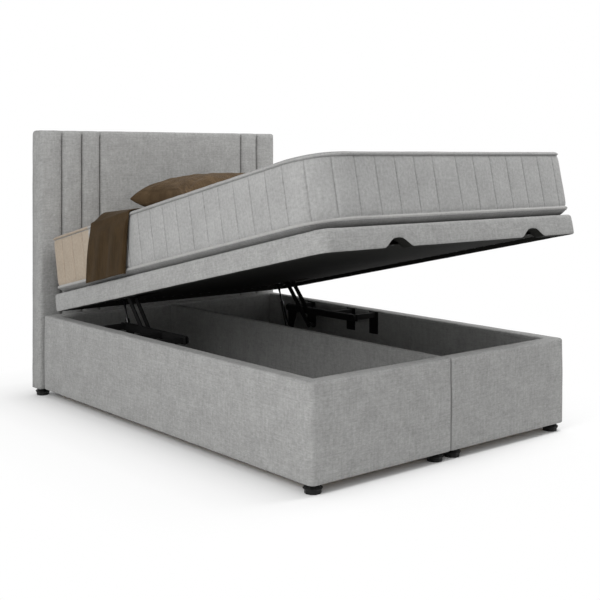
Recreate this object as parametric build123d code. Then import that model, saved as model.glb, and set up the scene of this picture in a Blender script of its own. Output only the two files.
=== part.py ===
from build123d import *
import os
from math import cos, sin, radians, degrees, hypot, atan2

# Ottoman storage bed for a 140 by 200 cm mattress, lifted on two-link arms with gas struts.
# Millimetres. X is the width, +Y runs from the foot to the headboard, +Z is up.
# Everything is laid out from the foot face of the base and moved to its own centre at the end.
# The platform stands part open, as it rests on its struts.

# Base: upholstered panels on low glides
base_width = 1400.0
base_length = 2000.0
glide_height = 35.0
panel_height = 355.0
wall = 60.0
panel_edge_chamfer = 6.0
panel_corner_round = 20.0
foot_seam = 1.6
foot_seam_round = 5.0
board = 18.0
board_end_inset = 15.0
board_edge_inset = 12.0

# Storage: lining, floor and divider
lining = 2.0
lining_top_inset = 12.0
floor_thickness = 8.0
batten_height = 15.0
batten_width = 30.0
batten_place_shares = [0.0, 0.5, 1.0]
divider = 11.0
divider_gap = 1.0
divider_top_inset = 3.0
divider_bolt_radius = 4.0
divider_bolt_head_radius = 7.0
divider_bolt_head = 3.0
divider_bolt_place_shares = [0.25, 0.75]
corner_plate = 3.0
corner_plate_leg = 55.0
corner_plate_height = 70.0
corner_plate_lift = 40.0

# Small round things have a few flat sides, and bolt heads are hexagonal
small_sides = 12
head_sides = 6

# Glides
glide_sides = 10
glide_radius = 36.0
glide_neck_radius = 26.0
glide_foot_radius = 30.0
glide_neck = 7.0
glide_bulge = 18.0
glide_inset = 42.0
glide_seam_inset = 48.0
headboard_glide_inset = 36.0

# Headboard
headboard_width = 1440.0
headboard_top = 1284.0
headboard_thickness = 76.0
headboard_edge_round = 16.0
headboard_corner_round = 26.0
headboard_board = 22.0
headboard_board_inset = 40.0
groove_width = 5.0
groove_depth = 9.0
left_groove_places = [122.0, 231.0, 331.0]
right_groove_places = [122.0, 231.0]
headboard_bolt_radius = 4.0
headboard_bolt_head_radius = 9.0
headboard_bolt_head = 4.0
headboard_bolt_inset = 165.0

# Platform: upholstered border, timber rails, bearers, decks and dust cloth
platform_length_short = 15.0
platform_height = 83.0
border = 52.0
border_foot_round = 30.0
border_head_round = 20.0
border_edge_chamfer = 8.0
rail_thickness = 28.0
rail_height = 58.0
rail_lift = 12.0
rail_end_inset = 62.0
deck = 11.0
deck_gap = 3.0
deck_clearance = 1.0
bearer = 35.0
bearer_height = 54.0
cross_bearer = 40.0
cross_bearer_head_inset = 64.435
cross_bearer_mechanism_clearance = 20.25
cross_bearer_place_shares = [0.0, 1 / 3, 2 / 3, 2.86 / 3]
dust_cloth = 2.0
dust_cloth_slot_start = 130.0
dust_cloth_slot_end = 492.0
dust_cloth_slot_width = 72.0
handhold_width = 150.0
handhold_top_width = 62.0
handhold_height = 35.0
handhold_round = 14.0
handhold_rail_clearance = 5.0
left_handhold_offset = -340.0
right_handhold_offset = 418.0

# Lift mechanism: places of the pivots in the side view.
# Base pivots are measured from the headboard and the floor, platform pivots from the
# head end and the underside of the platform.
platform_tilt = 12.1
head_corner_from_headboard = 125.0
head_corner_height = 419.7
rear_pivot_from_headboard = 561.5
rear_pivot_height = 372.3
front_pivot_from_headboard = 620.0
front_pivot_height = 302.6
strut_foot_from_headboard = 436.0
strut_foot_height = 262.0
rear_pivot_from_head = 308.5
rear_pivot_lift = 55.3
front_pivot_from_head = 329.1
front_pivot_lift = 15.5
strut_head_from_head = 239.2
strut_head_lift = 18.3

# Lift mechanism: steel sections and how far they lie inside the side walls
bracket = 5.0
bracket_inset = 152.0
standoff = 10.0
bar_start_from_headboard = 932.0
bar_end_from_headboard = 398.0
bar_height = 33.0
bar_top_inset = 5.0
bar_chamfer = 10.0
lug_radius = 16.0
lug_root_width = 74.0
link = 5.0
link_width = 24.0
link_gap = 1.0
front_link_standoff = 27.0
pin_radius = 6.0
pin_head_radius = 10.0
pin_head = 2.6
running_clearance = 0.05
open_pivot_clearance = 1.3
shoulder_radius = 9.0
upper_bar_start_from_head = 196.0
upper_bar_end_from_head = 476.0
upper_bar_height = 30.0
upper_bar_lift = 35.0
upper_bar_chamfer = 9.0
upper_lug_radius = 12.5
upper_lug_root = 18.0
screw_radius = 4.0
screw_head_radius = 7.0
screw_head = 3.0
bar_screw_places = [40.0, 190.0, 450.0]
upper_screw_places = [20.0, 250.0]

# Gas struts
cylinder_radius = 9.5
cylinder_length = 132.0
cylinder_end = 8.0
rod_radius = 4.5
rod_end_radius = 6.5
rod_end_length = 26.0
fitting_overlap = 5.0
eye_radius = 11.0
eye_thickness = 12.0
stud_radius = 5.0
stud_head_radius = 9.0
stud_head = 2.5
strut_plane_inset = 18.5
rod_in_cylinder = 84.0
strut_bore_depth = 117.0
rod_bore_clearance = 0.3

# Steel consoles that carry the mechanism clear of the side walls
console_plate = 5.0
console_arm = 25.0
console_arm_place_shares = [0.03, 0.36, 0.97]
console_flange = 4.0
console_flange_length = 60.0
console_flange_height = 110.0

# Mattress
mattress_side_inset = 8.0
mattress_length_short = 15.0
mattress_head_inset = 8.0
mattress_corner_round = 100.0
tuck_height = 27.0
tuck_inset = 22.0
tape_height = 9.0
tape_stand_out = 3.0
tape_chamfer = 2.5
border_panel_height = 218.0
quilt_count = 66
quilt_bulge = 3.2
quilt_flat_share = 0.4
crown_height = 22.0
crown_step_shares = [[0.0, 0.0], [0.55, 0.1], [0.85, 0.34], [1.0, 0.8]]
crown_reach_share = 1.1
soft_gap = 0.3

# Pillow
pillow_width = 800.0
pillow_depth = 500.0
pillow_thickness = 205.0
pillow_centre_offset = 105.0
pillow_centre_from_head = 352.0
pillow_tilt = 9.0
pillow_pinch = 12.0
pillow_under_share = 0.36
pillow_place_shares = [-1.0, -0.95, -0.82, -0.6, -0.3, 0.3, 0.6, 0.82, 0.95, 1.0]
pillow_depth_shares = [1.0, 0.97, 0.94, 0.92, 0.91, 0.91, 0.92, 0.94, 0.97, 1.0]
pillow_thickness_shares = [0.0, 0.24, 0.56, 0.84, 1.0, 1.0, 0.84, 0.56, 0.24, 0.0]
pillow_section_shares = [[-1.0, 0.0], [-0.92, 0.3], [-0.72, 0.62], [-0.4, 0.88], [0.0, 1.0],
                         [0.4, 0.88], [0.72, 0.62], [0.92, 0.3]]

# Throw that hangs over the left side
throw_thickness = 6.0
throw_top_start_from_head = 430.0
throw_top_end_from_head = 765.0
throw_bottom_start_from_head = 350.0
throw_bottom_end_from_head = 690.0
throw_top_reach = 880.0
throw_hem_lift = 8.0
throw_fold_count = 3
throw_fold_depth = 9.0
throw_bend_middle = 45.0

overrun = 20.0

# Sizes that follow from the ones above
base_top = glide_height + panel_height
platform_length = base_length - platform_length_short
mattress_width = base_width - 2 * mattress_side_inset
mattress_length = platform_length - mattress_length_short
head_corner_from_foot = base_length - head_corner_from_headboard
bar_start_from_foot = base_length - bar_start_from_headboard
bar_end_from_foot = base_length - bar_end_from_headboard
wall_inner = base_width / 2 - wall
lining_inner = wall_inner - lining
floor_top = glide_height + batten_height + floor_thickness
bracket_outer = wall_inner - bracket_inset
bracket_inner = bracket_outer - bracket
carrier_face = bracket_outer + standoff
rear_link_outer = bracket_outer + link_gap + link
front_link_outer = bracket_inner - front_link_standoff
strut_plane = bracket_inner - strut_plane_inset
deck_bottom = platform_height - deck
mattress_bottom = platform_height + soft_gap
crown_reach = crown_reach_share * mattress_corner_round
mattress_seam = mattress_bottom + tuck_height + 2 * tape_height + border_panel_height
mattress_top = mattress_seam + crown_height


def block(x, y, z):
    """A box between two limits on each axis."""
    size = Box(x[1] - x[0], y[1] - y[0], z[1] - z[0])
    return Pos((x[0] + x[1]) / 2, (y[0] + y[1]) / 2, (z[0] + z[1]) / 2) * size


def prism(points, low, high):
    """An upright prism over a plan outline."""
    outline = make_face(Polyline(*points, close=True))
    return Pos(0, 0, low) * extrude(outline, high - low)


def side_plate(sketch, inner, outer, side):
    """A plate that stands in the side view: sketch X is from the foot, sketch Y is up."""
    flat = extrude(sketch, outer - inner)
    upright = Plane(origin=(inner, 0, 0), x_dir=(0, 1, 0), z_dir=(1, 0, 0)).location * flat
    return upright if side > 0 else mirror(upright, Plane.YZ)


def side_rod(place, radius, inner, outer, side):
    """A round bar across the bed, at a place in the side view."""
    disc = Pos(place[0], place[1]) * Circle(radius)
    return side_plate(disc, inner, outer, side)


def side_prism(place, radius, sides, inner, outer, side):
    """A many-sided bar across the bed, such as a bolt head, at a place in the side view."""
    outline = Pos(place[0], place[1]) * RegularPolygon(radius, sides)
    return side_plate(outline, inner, outer, side)


def both(maker):
    """The left and the right copy of a piece as one group of separate solids."""
    return Compound([solid for side in (-1, 1) for solid in maker(side).solids()])


def on_platform(shape):
    """Moves a piece laid out on the flat platform to where the platform rests."""
    turn = Rot(-platform_tilt, 0, 0)
    return Pos(0, head_corner_from_foot, head_corner_height) * turn * shape


def platform_point(from_head, lift):
    """A place on the platform, in the side view of the whole bed."""
    tilt = radians(platform_tilt)
    across = head_corner_from_foot - from_head * cos(tilt) + lift * sin(tilt)
    height = head_corner_height + from_head * sin(tilt) + lift * cos(tilt)
    return (across, height)


rear_low = (base_length - rear_pivot_from_headboard, rear_pivot_height)
front_low = (base_length - front_pivot_from_headboard, front_pivot_height)
strut_low = (base_length - strut_foot_from_headboard, strut_foot_height)
rear_high = platform_point(rear_pivot_from_head, rear_pivot_lift)
front_high = platform_point(front_pivot_from_head, front_pivot_lift)
strut_high = platform_point(strut_head_from_head, strut_head_lift)
strut_length = hypot(strut_high[0] - strut_low[0], strut_high[1] - strut_low[1])
strut_angle = degrees(atan2(strut_high[1] - strut_low[1], strut_high[0] - strut_low[0]))


# Base panels: one padded ring, parted at the mitred corners and at the foot seam

def panel_ring():
    outer = RectangleRounded(base_width, base_length, panel_corner_round)
    inner = Rectangle(2 * wall_inner, base_length - 2 * wall)
    ring = Pos(0, base_length / 2, glide_height) * extrude(outer - inner, panel_height)
    ends = ring.edges().group_by(Axis.Z)
    return chamfer(ends[0] + ends[-1], panel_edge_chamfer)


def panel_region(name):
    edge = base_width / 2 + overrun
    inside = wall_inner - overrun
    foot = wall + overrun
    head = base_length - wall - overrun
    half_seam = foot_seam / 2
    regions = {
        "left": [(-edge, -overrun), (-inside, foot), (-inside, head), (-edge, base_length + overrun)],
        "right": [(edge, -overrun), (inside, foot), (inside, head), (edge, base_length + overrun)],
        "foot_left": [(-edge, -overrun), (-inside, foot), (-half_seam, foot), (-half_seam, -overrun)],
        "foot_right": [(edge, -overrun), (inside, foot), (half_seam, foot), (half_seam, -overrun)],
        "head": [(-edge, base_length + overrun), (-inside, head),
                 (inside, head), (edge, base_length + overrun)],
    }
    return prism(regions[name], glide_height - overrun, base_top + overrun)


def base_board(name):
    """The timber board inside a padded panel."""
    middle = (wall - board) / 2
    near = base_width / 2 - middle - board
    far = base_width / 2 - middle
    ends = (wall + board_end_inset, base_length - wall - board_end_inset)
    reach = wall_inner - board_end_inset
    height = (glide_height + board_edge_inset, base_top - board_edge_inset)
    seam_side = foot_seam / 2 + board_edge_inset
    places = {
        "left": ((-far, -near), ends),
        "right": ((near, far), ends),
        "foot_left": ((-reach, -seam_side), (middle, middle + board)),
        "foot_right": ((seam_side, reach), (middle, middle + board)),
        "head": ((-reach, reach), (base_length - middle - board, base_length - middle)),
    }
    across, along = places[name]
    return block(across, along, height)


def base_panel(name, ring):
    panel = ring & panel_region(name)
    if name.startswith("foot"):
        seam_edges = panel.edges().filter_by(Axis.Z).filter_by(lambda e: abs(e.center().X) < foot_seam)
        panel = fillet(seam_edges, foot_seam_round)
    return panel - base_board(name)


def side_lining(side):
    height = (floor_top, base_top - lining_top_inset)
    along = (wall + lining, base_length - wall - lining)
    return block(sorted((side * lining_inner, side * wall_inner)), along, height)


def end_lining(low):
    height = (floor_top, base_top - lining_top_inset)
    parts = []
    for side in (-1, 1):
        edges = sorted((side * (divider + divider_gap / 2), side * wall_inner))
        parts.append(block(edges, (low, low + lining), height))
    return Compound(parts)


def divider_bolt_places():
    height = (floor_top + base_top) / 2
    return [(share * base_length, height) for share in divider_bolt_place_shares]


def divider_board(side):
    near = divider_gap / 2
    span = sorted((side * near, side * (near + divider)))
    sheet = block(span, (wall, base_length - wall), (glide_height, base_top - divider_top_inset))
    bore = divider_bolt_radius + running_clearance
    for place in divider_bolt_places():
        sheet -= side_prism(place, bore, small_sides, 0, near + divider + overrun, side)
    return sheet


def divider_bolts():
    reach = divider + divider_gap / 2
    end = reach + divider_bolt_head
    bolts = []
    for place in divider_bolt_places():
        bolt = side_prism(place, divider_bolt_radius, small_sides, -reach, reach, 1)
        for side in (-1, 1):
            bolt += side_prism(place, divider_bolt_head_radius, head_sides, reach, end, side)
        bolts.append(bolt)
    return Compound([solid for bolt in bolts for solid in bolt.solids()])


def floor_panel(side):
    span = sorted((side * (divider + divider_gap / 2), side * wall_inner))
    return block(span, (wall, base_length - wall), (glide_height + batten_height, floor_top))


def floor_battens():
    height = (glide_height, glide_height + batten_height)
    inner = divider + divider_gap / 2
    parts = []
    for side in (-1, 1):
        long_ends = (wall, base_length - wall)
        clear_inner = inner + batten_width
        clear_outer = wall_inner - batten_width
        parts.append(block(sorted((side * inner, side * clear_inner)), long_ends, height))
        parts.append(block(sorted((side * clear_outer, side * wall_inner)), long_ends, height))
        span = sorted((side * clear_inner, side * clear_outer))
        clear_length = base_length - 2 * wall - batten_width
        for share in batten_place_shares:
            low = wall + share * clear_length
            parts.append(block(span, (low, low + batten_width), height))
    return Compound(parts)


def corner_plates():
    """Folded steel angles that join the panels inside the four corners."""
    parts = []
    low = floor_top + corner_plate_lift
    height = (low, low + corner_plate_height)
    for side in (-1, 1):
        for end in (-1, 1):
            corner_x = side * lining_inner
            corner_y = base_length / 2 + end * (base_length / 2 - wall - lining)
            leg_x = block(sorted((corner_x, corner_x - side * corner_plate_leg)),
                          sorted((corner_y, corner_y - end * corner_plate)), height)
            leg_y = block(sorted((corner_x, corner_x - side * corner_plate)),
                          sorted((corner_y, corner_y - end * corner_plate_leg)), height)
            parts.append((leg_x + leg_y).solid())
    return Compound(parts)


def glide():
    """A low foot: a narrow neck under the panel, a round bulge and a smaller sole."""
    shoulder = glide_height - glide_neck
    sole = shoulder - glide_bulge
    levels = [(0, glide_foot_radius), (sole, glide_foot_radius), ((sole + shoulder) / 2, glide_radius),
              (shoulder, glide_neck_radius), (glide_height, glide_neck_radius)]
    rings = [Pos(0, 0, level) * RegularPolygon(radius, glide_sides) for level, radius in levels]
    return loft(rings, ruled=True)


def glides():
    """Four glides along the foot panel, two under the head panel and two under the headboard."""
    foot = glide()
    outer = base_width / 2 - glide_inset
    under_headboard = headboard_width / 2 - headboard_glide_inset
    places = [(across, glide_inset) for across in (-outer, -glide_seam_inset, glide_seam_inset, outer)]
    places += [(across, base_length - glide_inset) for across in (-glide_seam_inset, glide_seam_inset)]
    places += [(side * under_headboard, base_length + headboard_thickness / 2) for side in (-1, 1)]
    return Compound([Pos(across, along, 0) * foot for across, along in places])


# Headboard: a padded slab with upright seams that run over its top edge

def headboard_slab():
    height = headboard_top - glide_height
    face = Rectangle(headboard_width, height)
    face = fillet(face.vertices().group_by(Axis.Y)[-1], headboard_corner_round)
    upright = Plane(origin=(0, base_length + headboard_thickness, glide_height + height / 2),
                    x_dir=(1, 0, 0), z_dir=(0, -1, 0)).location * extrude(face, headboard_thickness)
    above = upright.edges().filter_by(lambda e: e.center().Z > glide_height + headboard_edge_round)
    front = above.filter_by(lambda e: e.center().Y < base_length + headboard_edge_round)
    return fillet(front, headboard_edge_round)


def groove_centres():
    left = [-headboard_width / 2 + place for place in left_groove_places]
    right = [headboard_width / 2 - place for place in right_groove_places]
    return left + right


def headboard_board_solid():
    back = base_length + headboard_thickness / 2
    return block((-headboard_width / 2 + headboard_board_inset, headboard_width / 2 - headboard_board_inset),
                 (back, back + headboard_board),
                 (glide_height + headboard_board_inset, headboard_top - headboard_board_inset))


def headboard_bolt_places():
    across = base_width / 2 - headboard_bolt_inset
    return [(side * across, (floor_top + base_top) / 2) for side in (-1, 1)]


def head_bolt_rod(place, radius, start, end, sides=small_sides):
    rod = Plane(origin=(place[0], start, place[1]), x_dir=(1, 0, 0), z_dir=(0, 1, 0)).location
    return rod * extrude(RegularPolygon(radius, sides), end - start)


def headboard_bolt_end():
    return base_length + headboard_thickness / 2 + headboard_board


def groove(centre):
    """A seam down the front of the headboard that runs on over its top edge."""
    across = (centre - groove_width / 2, centre + groove_width / 2)
    front = block(across, (base_length - overrun, base_length + groove_depth),
                  (glide_height - overrun, headboard_top + overrun))
    over = block(across, (base_length - overrun, base_length + headboard_thickness - headboard_edge_round),
                 (headboard_top - groove_depth, headboard_top + overrun))
    return front + over


def headboard_cover():
    cover = headboard_slab()
    for centre in groove_centres():
        cover -= groove(centre)
    cover -= headboard_board_solid()
    for place in headboard_bolt_places():
        cover -= head_bolt_rod(place, headboard_bolt_radius, base_length - overrun, headboard_bolt_end())
    return cover


def headboard_board_piece():
    sheet = headboard_board_solid()
    for place in headboard_bolt_places():
        sheet -= head_bolt_rod(place, headboard_bolt_radius, base_length - overrun,
                               headboard_bolt_end() + overrun)
    return sheet


def headboard_bolts():
    """Bolts from the storage side through the head panel into the headboard."""
    head_face = base_length - wall - lining
    bolts = []
    for place in headboard_bolt_places():
        shank = head_bolt_rod(place, headboard_bolt_radius, head_face, headboard_bolt_end())
        head = head_bolt_rod(place, headboard_bolt_head_radius, head_face - headboard_bolt_head,
                             head_face, head_sides)
        bolts.append((shank + head).solid())
    return Compound(bolts)


def with_headboard_holes(shape):
    start = base_length - wall - overrun
    for place in headboard_bolt_places():
        shape -= head_bolt_rod(place, headboard_bolt_radius, start, base_length + overrun)
    return shape


# Lift mechanism

def stretched(low, high, low_radius, high_radius):
    """The outline of a belt round two discs."""
    discs = [Pos(*low) * Circle(low_radius), Pos(*high) * Circle(high_radius)]
    edges = [edge for disc in discs for edge in disc.edges()]
    return make_hull(edges)


def lug(pivot, root, pivot_radius, root_radius):
    """A tongue from its many-sided root to a round end at a pivot."""
    shapes = [Pos(*pivot) * Circle(pivot_radius), Pos(*root) * RegularPolygon(root_radius, small_sides)]
    return make_hull([edge for shape in shapes for edge in shape.edges()])


def bracket_holes(pivots, points, side):
    """The seats of the pins and the stud, and the screw holes, through a bracket plate."""
    holes = [side_prism(pivots[0], pin_radius, small_sides, 0, base_width, side),
             side_prism(pivots[1], pin_radius, small_sides, 0, base_width, side),
             side_prism(pivots[2], stud_radius, small_sides, 0, base_width, side)]
    holes += [side_prism(place, screw_radius, small_sides, 0, base_width, side) for place in points]
    return holes


def lower_bracket_outline():
    centre_height = base_top - bar_top_inset - bar_height / 2
    length = bar_end_from_foot - bar_start_from_foot
    middle = (bar_start_from_foot + bar_end_from_foot) / 2
    bar = Rectangle(length, bar_height)
    bar = Pos(middle, centre_height) * chamfer(bar.vertices(), bar_chamfer)
    front_root = (front_low[0] + lug_radius, centre_height)
    strut_root = (strut_low[0] - lug_radius, centre_height)
    front_lug = lug(front_low, front_root, lug_radius, lug_root_width / 2)
    strut_lug = lug(strut_low, strut_root, lug_radius, lug_root_width / 2)
    below = Pos(middle, (base_top - bar_top_inset) / 2) * Rectangle(2 * length, base_top - bar_top_inset)
    return bar + ((front_lug + strut_lug) & below)


def bar_screw_points():
    height = base_top - bar_top_inset - bar_height / 2
    return [(bar_start_from_foot + place, height) for place in bar_screw_places]


def lower_bracket(side):
    plate = side_plate(lower_bracket_outline(), bracket_inner, bracket_outer, side)
    return plate - bracket_holes((rear_low, front_low, strut_low), bar_screw_points(), side)


def upper_screw_points():
    lift = upper_bar_lift + upper_bar_height / 2
    return [platform_point(upper_bar_start_from_head + place, lift) for place in upper_screw_places]


def upper_bracket(side):
    """The plate bolted to the platform bearer, with lugs down to the front link and the strut."""
    lift = upper_bar_lift + upper_bar_height / 2
    middle = platform_point((upper_bar_start_from_head + upper_bar_end_from_head) / 2, lift)
    bar = Rectangle(upper_bar_end_from_head - upper_bar_start_from_head, upper_bar_height)
    bar = chamfer(bar.vertices(), upper_bar_chamfer)
    outline = Pos(*middle) * Rot(0, 0, -platform_tilt) * bar
    outline += lug(front_high, platform_point(front_pivot_from_head, lift), upper_lug_radius, upper_lug_root)
    outline += lug(strut_high, platform_point(strut_head_from_head, lift), upper_lug_radius, upper_lug_root)
    plate = side_plate(outline, bracket_inner, bracket_outer, side)
    return plate - bracket_holes((rear_high, front_high, strut_high), upper_screw_points(), side)


def rear_pin(place, side):
    """A pin whose head holds the rear link outside the bracket."""
    seat = rear_link_outer + link_gap / 2
    root = side_prism(place, pin_radius, small_sides, bracket_inner, bracket_outer, side)
    shank = side_rod(place, pin_radius, bracket_outer, seat, side)
    return root + shank + side_prism(place, pin_head_radius, head_sides, seat, seat + pin_head, side)


def front_pin(place, side):
    """A shouldered pin that holds the front link clear of the strut."""
    shoulder_face = front_link_outer + link_gap / 2
    journal_end = front_link_outer - link - link_gap / 2
    root = side_prism(place, pin_radius, small_sides, bracket_inner, bracket_outer, side)
    shoulder = side_prism(place, shoulder_radius, small_sides, shoulder_face, bracket_inner, side)
    journal = side_rod(place, pin_radius, journal_end, shoulder_face, side)
    head = side_prism(place, pin_head_radius, head_sides, journal_end - pin_head, journal_end, side)
    return root + shoulder + journal + head


def strut_stud(place, side):
    """The stud that carries an eye of the gas strut."""
    eye_inner = strut_plane - eye_thickness / 2
    collar_face = eye_inner + eye_thickness + link_gap
    root = side_prism(place, stud_radius, small_sides, bracket_inner, bracket_outer, side)
    collar = side_prism(place, shoulder_radius, small_sides, collar_face, bracket_inner, side)
    shank_end = eye_inner - link_gap
    shank = side_rod(place, stud_radius, shank_end, collar_face, side)
    head = side_prism(place, stud_head_radius, head_sides, shank_end - stud_head, shank_end, side)
    return root + collar + shank + head


def pivot_pins(rear, front, strut, side):
    """The three pins of one bracket plate."""
    pins = [rear_pin(rear, side), front_pin(front, side), strut_stud(strut, side)]
    return Compound([pin.solid() for pin in pins])


def bracket_screws(points, side):
    """Screws with their stand-off sleeves between a bracket and the console or the bearer."""
    parts = []
    for place in points:
        head_end = bracket_inner - screw_head
        shank = side_prism(place, screw_radius, small_sides, head_end, carrier_face, side)
        sleeve = side_prism(place, screw_head_radius, head_sides, bracket_outer, carrier_face, side)
        head = side_prism(place, screw_head_radius, head_sides, head_end, bracket_inner, side)
        parts.append((shank + sleeve + head).solid())
    return Compound(parts)


def flat_link(low, high, outer, side, low_bore, high_bore):
    """A flat steel arm with rounded ends."""
    arm = stretched(low, high, link_width / 2, link_width / 2)
    plate = side_plate(arm, outer - link, outer, side)
    plate -= side_rod(low, low_bore, 0, base_width, side)
    return plate - side_rod(high, high_bore, 0, base_width, side)


def rear_link(side):
    return flat_link(rear_low, rear_high, rear_link_outer, side,
                     pin_radius + running_clearance, pin_radius + open_pivot_clearance)


def front_link(side):
    bore = pin_radius + running_clearance
    return flat_link(front_low, front_high, front_link_outer, side, bore, bore)


def along_strut(distance):
    angle = radians(strut_angle)
    return (strut_low[0] + distance * cos(angle), strut_low[1] + distance * sin(angle))


def strut_bar(start, end, outline, side):
    """A bar along the strut, between two distances from its lower stud."""
    low = along_strut(start)
    angle = radians(strut_angle)
    plane = Plane(origin=(side * strut_plane, low[0], low[1]), x_dir=(1, 0, 0),
                  z_dir=(0, cos(angle), sin(angle)))
    return plane.location * extrude(outline, end - start)


def strut_eye(place, bore, side):
    ring = side_rod(place, eye_radius, strut_plane - eye_thickness / 2, strut_plane + eye_thickness / 2, side)
    return ring - side_rod(place, bore, 0, base_width, side)


def strut_cylinder(side):
    body_end = eye_radius + cylinder_length
    fitting = RegularPolygon(rod_end_radius, head_sides)
    neck = strut_bar(eye_radius - fitting_overlap, eye_radius + cylinder_end, fitting, side)
    tube = strut_bar(eye_radius + cylinder_end / 2, body_end, Circle(cylinder_radius), side)
    clear_hole = Circle(rod_radius + rod_bore_clearance)
    bore = strut_bar(body_end - strut_bore_depth, body_end + overrun, clear_hole, side)
    lower = neck - side_rod(strut_low, eye_radius - link_gap, 0, base_width, side)
    return strut_eye(strut_low, stud_radius + running_clearance, side) + (tube - bore) + lower


def strut_rod(side):
    upper = strut_length - eye_radius
    shank = strut_bar(eye_radius + cylinder_length - rod_in_cylinder, upper, Circle(rod_radius), side)
    outline = RegularPolygon(rod_end_radius, head_sides)
    fitting = strut_bar(upper - rod_end_length, upper + link_gap, outline, side)
    return strut_eye(strut_high, stud_radius + open_pivot_clearance, side) + shank + fitting


def mechanism_console(side):
    """A welded steel console: a plate behind the lower bracket on three arms from the side wall."""
    high = base_top - bar_top_inset
    low = high - bar_height
    start = bar_start_from_foot
    end = bar_end_from_foot
    outer = carrier_face + console_plate
    console = block(sorted((side * carrier_face, side * outer)), (start, end), (low, high))
    wall_face = lining_inner - console_flange
    for share in console_arm_place_shares:
        along = start + share * (end - start - console_arm)
        arm_low = (low + high - console_arm) / 2
        arm = block(sorted((side * outer, side * wall_face)), (along, along + console_arm),
                    (arm_low, arm_low + console_arm))
        middle = along + console_arm / 2
        flange = block(sorted((side * wall_face, side * lining_inner)),
                       (middle - console_flange_length / 2, middle + console_flange_length / 2),
                       (high - console_flange_height, high))
        console += arm + flange
    return console


# Platform pieces, laid out flat: Y is 0 at the head end and negative towards the foot

def platform_ring():
    outer = Pos(0, -platform_length / 2) * Rectangle(base_width, platform_length)
    outer = fillet(outer.vertices().group_by(Axis.Y)[0], border_foot_round)
    outer = fillet(outer.vertices().group_by(Axis.Y)[-1], border_head_round)
    solid = extrude(outer, platform_height)
    ends = solid.edges().group_by(Axis.Z)
    solid = chamfer(ends[0] + ends[-1], border_edge_chamfer)
    inner = block((-base_width / 2 + border, base_width / 2 - border),
                  (-platform_length + border, -border), (-overrun, platform_height + overrun))
    return solid - inner


def border_region(name):
    edge = base_width / 2 + overrun
    inside = base_width / 2 - border - overrun
    foot = -platform_length - overrun
    foot_inside = -platform_length + border + overrun
    head_inside = -border - overrun
    regions = {
        "left": [(-edge, foot), (-inside, foot_inside), (-inside, head_inside), (-edge, overrun)],
        "right": [(edge, foot), (inside, foot_inside), (inside, head_inside), (edge, overrun)],
        "foot": [(-edge, foot), (-inside, foot_inside), (inside, foot_inside), (edge, foot)],
        "head": [(-edge, overrun), (-inside, head_inside), (inside, head_inside), (edge, overrun)],
    }
    return prism(regions[name], -overrun, platform_height + overrun)


def rail_block(name):
    middle = (border - rail_thickness) / 2
    near = base_width / 2 - middle - rail_thickness
    far = base_width / 2 - middle
    ends = (-platform_length + rail_end_inset, -rail_end_inset)
    reach = base_width / 2 - rail_end_inset
    height = (rail_lift, rail_lift + rail_height)
    places = {
        "left": ((-far, -near), ends),
        "right": ((near, far), ends),
        "foot": ((-reach, reach), (-platform_length + middle, -platform_length + middle + rail_thickness)),
        "head": ((-reach, reach), (-middle - rail_thickness, -middle)),
    }
    across, along = places[name]
    return block(across, along, height)


def handhold(centre, extra):
    """A notch in the lower edge whose sides run smoothly into the edge."""
    low = handhold_width / 2 + extra
    high = handhold_top_width / 2 + extra
    edge = low + handhold_round
    top = handhold_height + extra
    points = [(-edge, -overrun), (-edge, 0), (-low, 0), (-high, top),
              (high, top), (low, 0), (edge, 0), (edge, -overrun)]
    notch = make_face(Polyline(*points, close=True))
    bends = notch.vertices().filter_by(lambda v: abs(v.X) < edge)
    tool = extrude(fillet(bends, handhold_round), border + 2 * overrun)
    outside = Plane(origin=(centre, -platform_length - overrun, 0), x_dir=(-1, 0, 0), z_dir=(0, 1, 0))
    return outside.location * tool


def border_cover(name, ring):
    cover = (ring & border_region(name)) - border_rail(name)
    if name == "foot":
        for centre in (left_handhold_offset, right_handhold_offset):
            cover -= handhold(centre, 0)
    return cover


def border_rail(name):
    rail = rail_block(name)
    if name == "foot":
        for centre in (left_handhold_offset, right_handhold_offset):
            rail -= handhold(centre, handhold_rail_clearance)
    return rail


def deck_board(name):
    reach = base_width / 2 - border - deck_clearance
    middle = -platform_length / 2
    half_gap = deck_gap / 2
    spans = {
        "head": (middle + half_gap, -border - deck_clearance),
        "foot": (-platform_length + border + deck_clearance, middle - half_gap),
    }
    return block((-reach, reach), spans[name], (deck_bottom, platform_height))


def long_bearer(side):
    span = sorted((side * carrier_face, side * (carrier_face + bearer)))
    return block(span, (-platform_length + border, -border), (deck_bottom - bearer_height, deck_bottom))


def cross_bearers():
    height = (deck_bottom - bearer_height, deck_bottom)
    edge = base_width / 2 - border
    past_mechanism = dust_cloth_slot_end + cross_bearer_mechanism_clearance + cross_bearer
    clear_length = platform_length - border - past_mechanism
    lows = [-border - cross_bearer_head_inset - cross_bearer]
    lows += [-past_mechanism - share * clear_length for share in cross_bearer_place_shares]
    parts = []
    for low in lows:
        along = (low, low + cross_bearer)
        parts.append(block((-carrier_face, carrier_face), along, height))
        for side in (-1, 1):
            parts.append(block(sorted((side * (carrier_face + bearer), side * edge)), along, height))
    return Compound(parts)


def dust_cloth_sheet():
    reach = base_width / 2 - border
    height = (deck_bottom - bearer_height - dust_cloth, deck_bottom - bearer_height)
    sheet = block((-reach, reach), (-platform_length + border, -border), height)
    for side in (-1, 1):
        inner = carrier_face - dust_cloth_slot_width
        sheet -= block(sorted((side * inner, side * carrier_face)),
                       (-dust_cloth_slot_end, -dust_cloth_slot_start), (-overrun, platform_height))
    return sheet


# Mattress, pillow and throw

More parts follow.
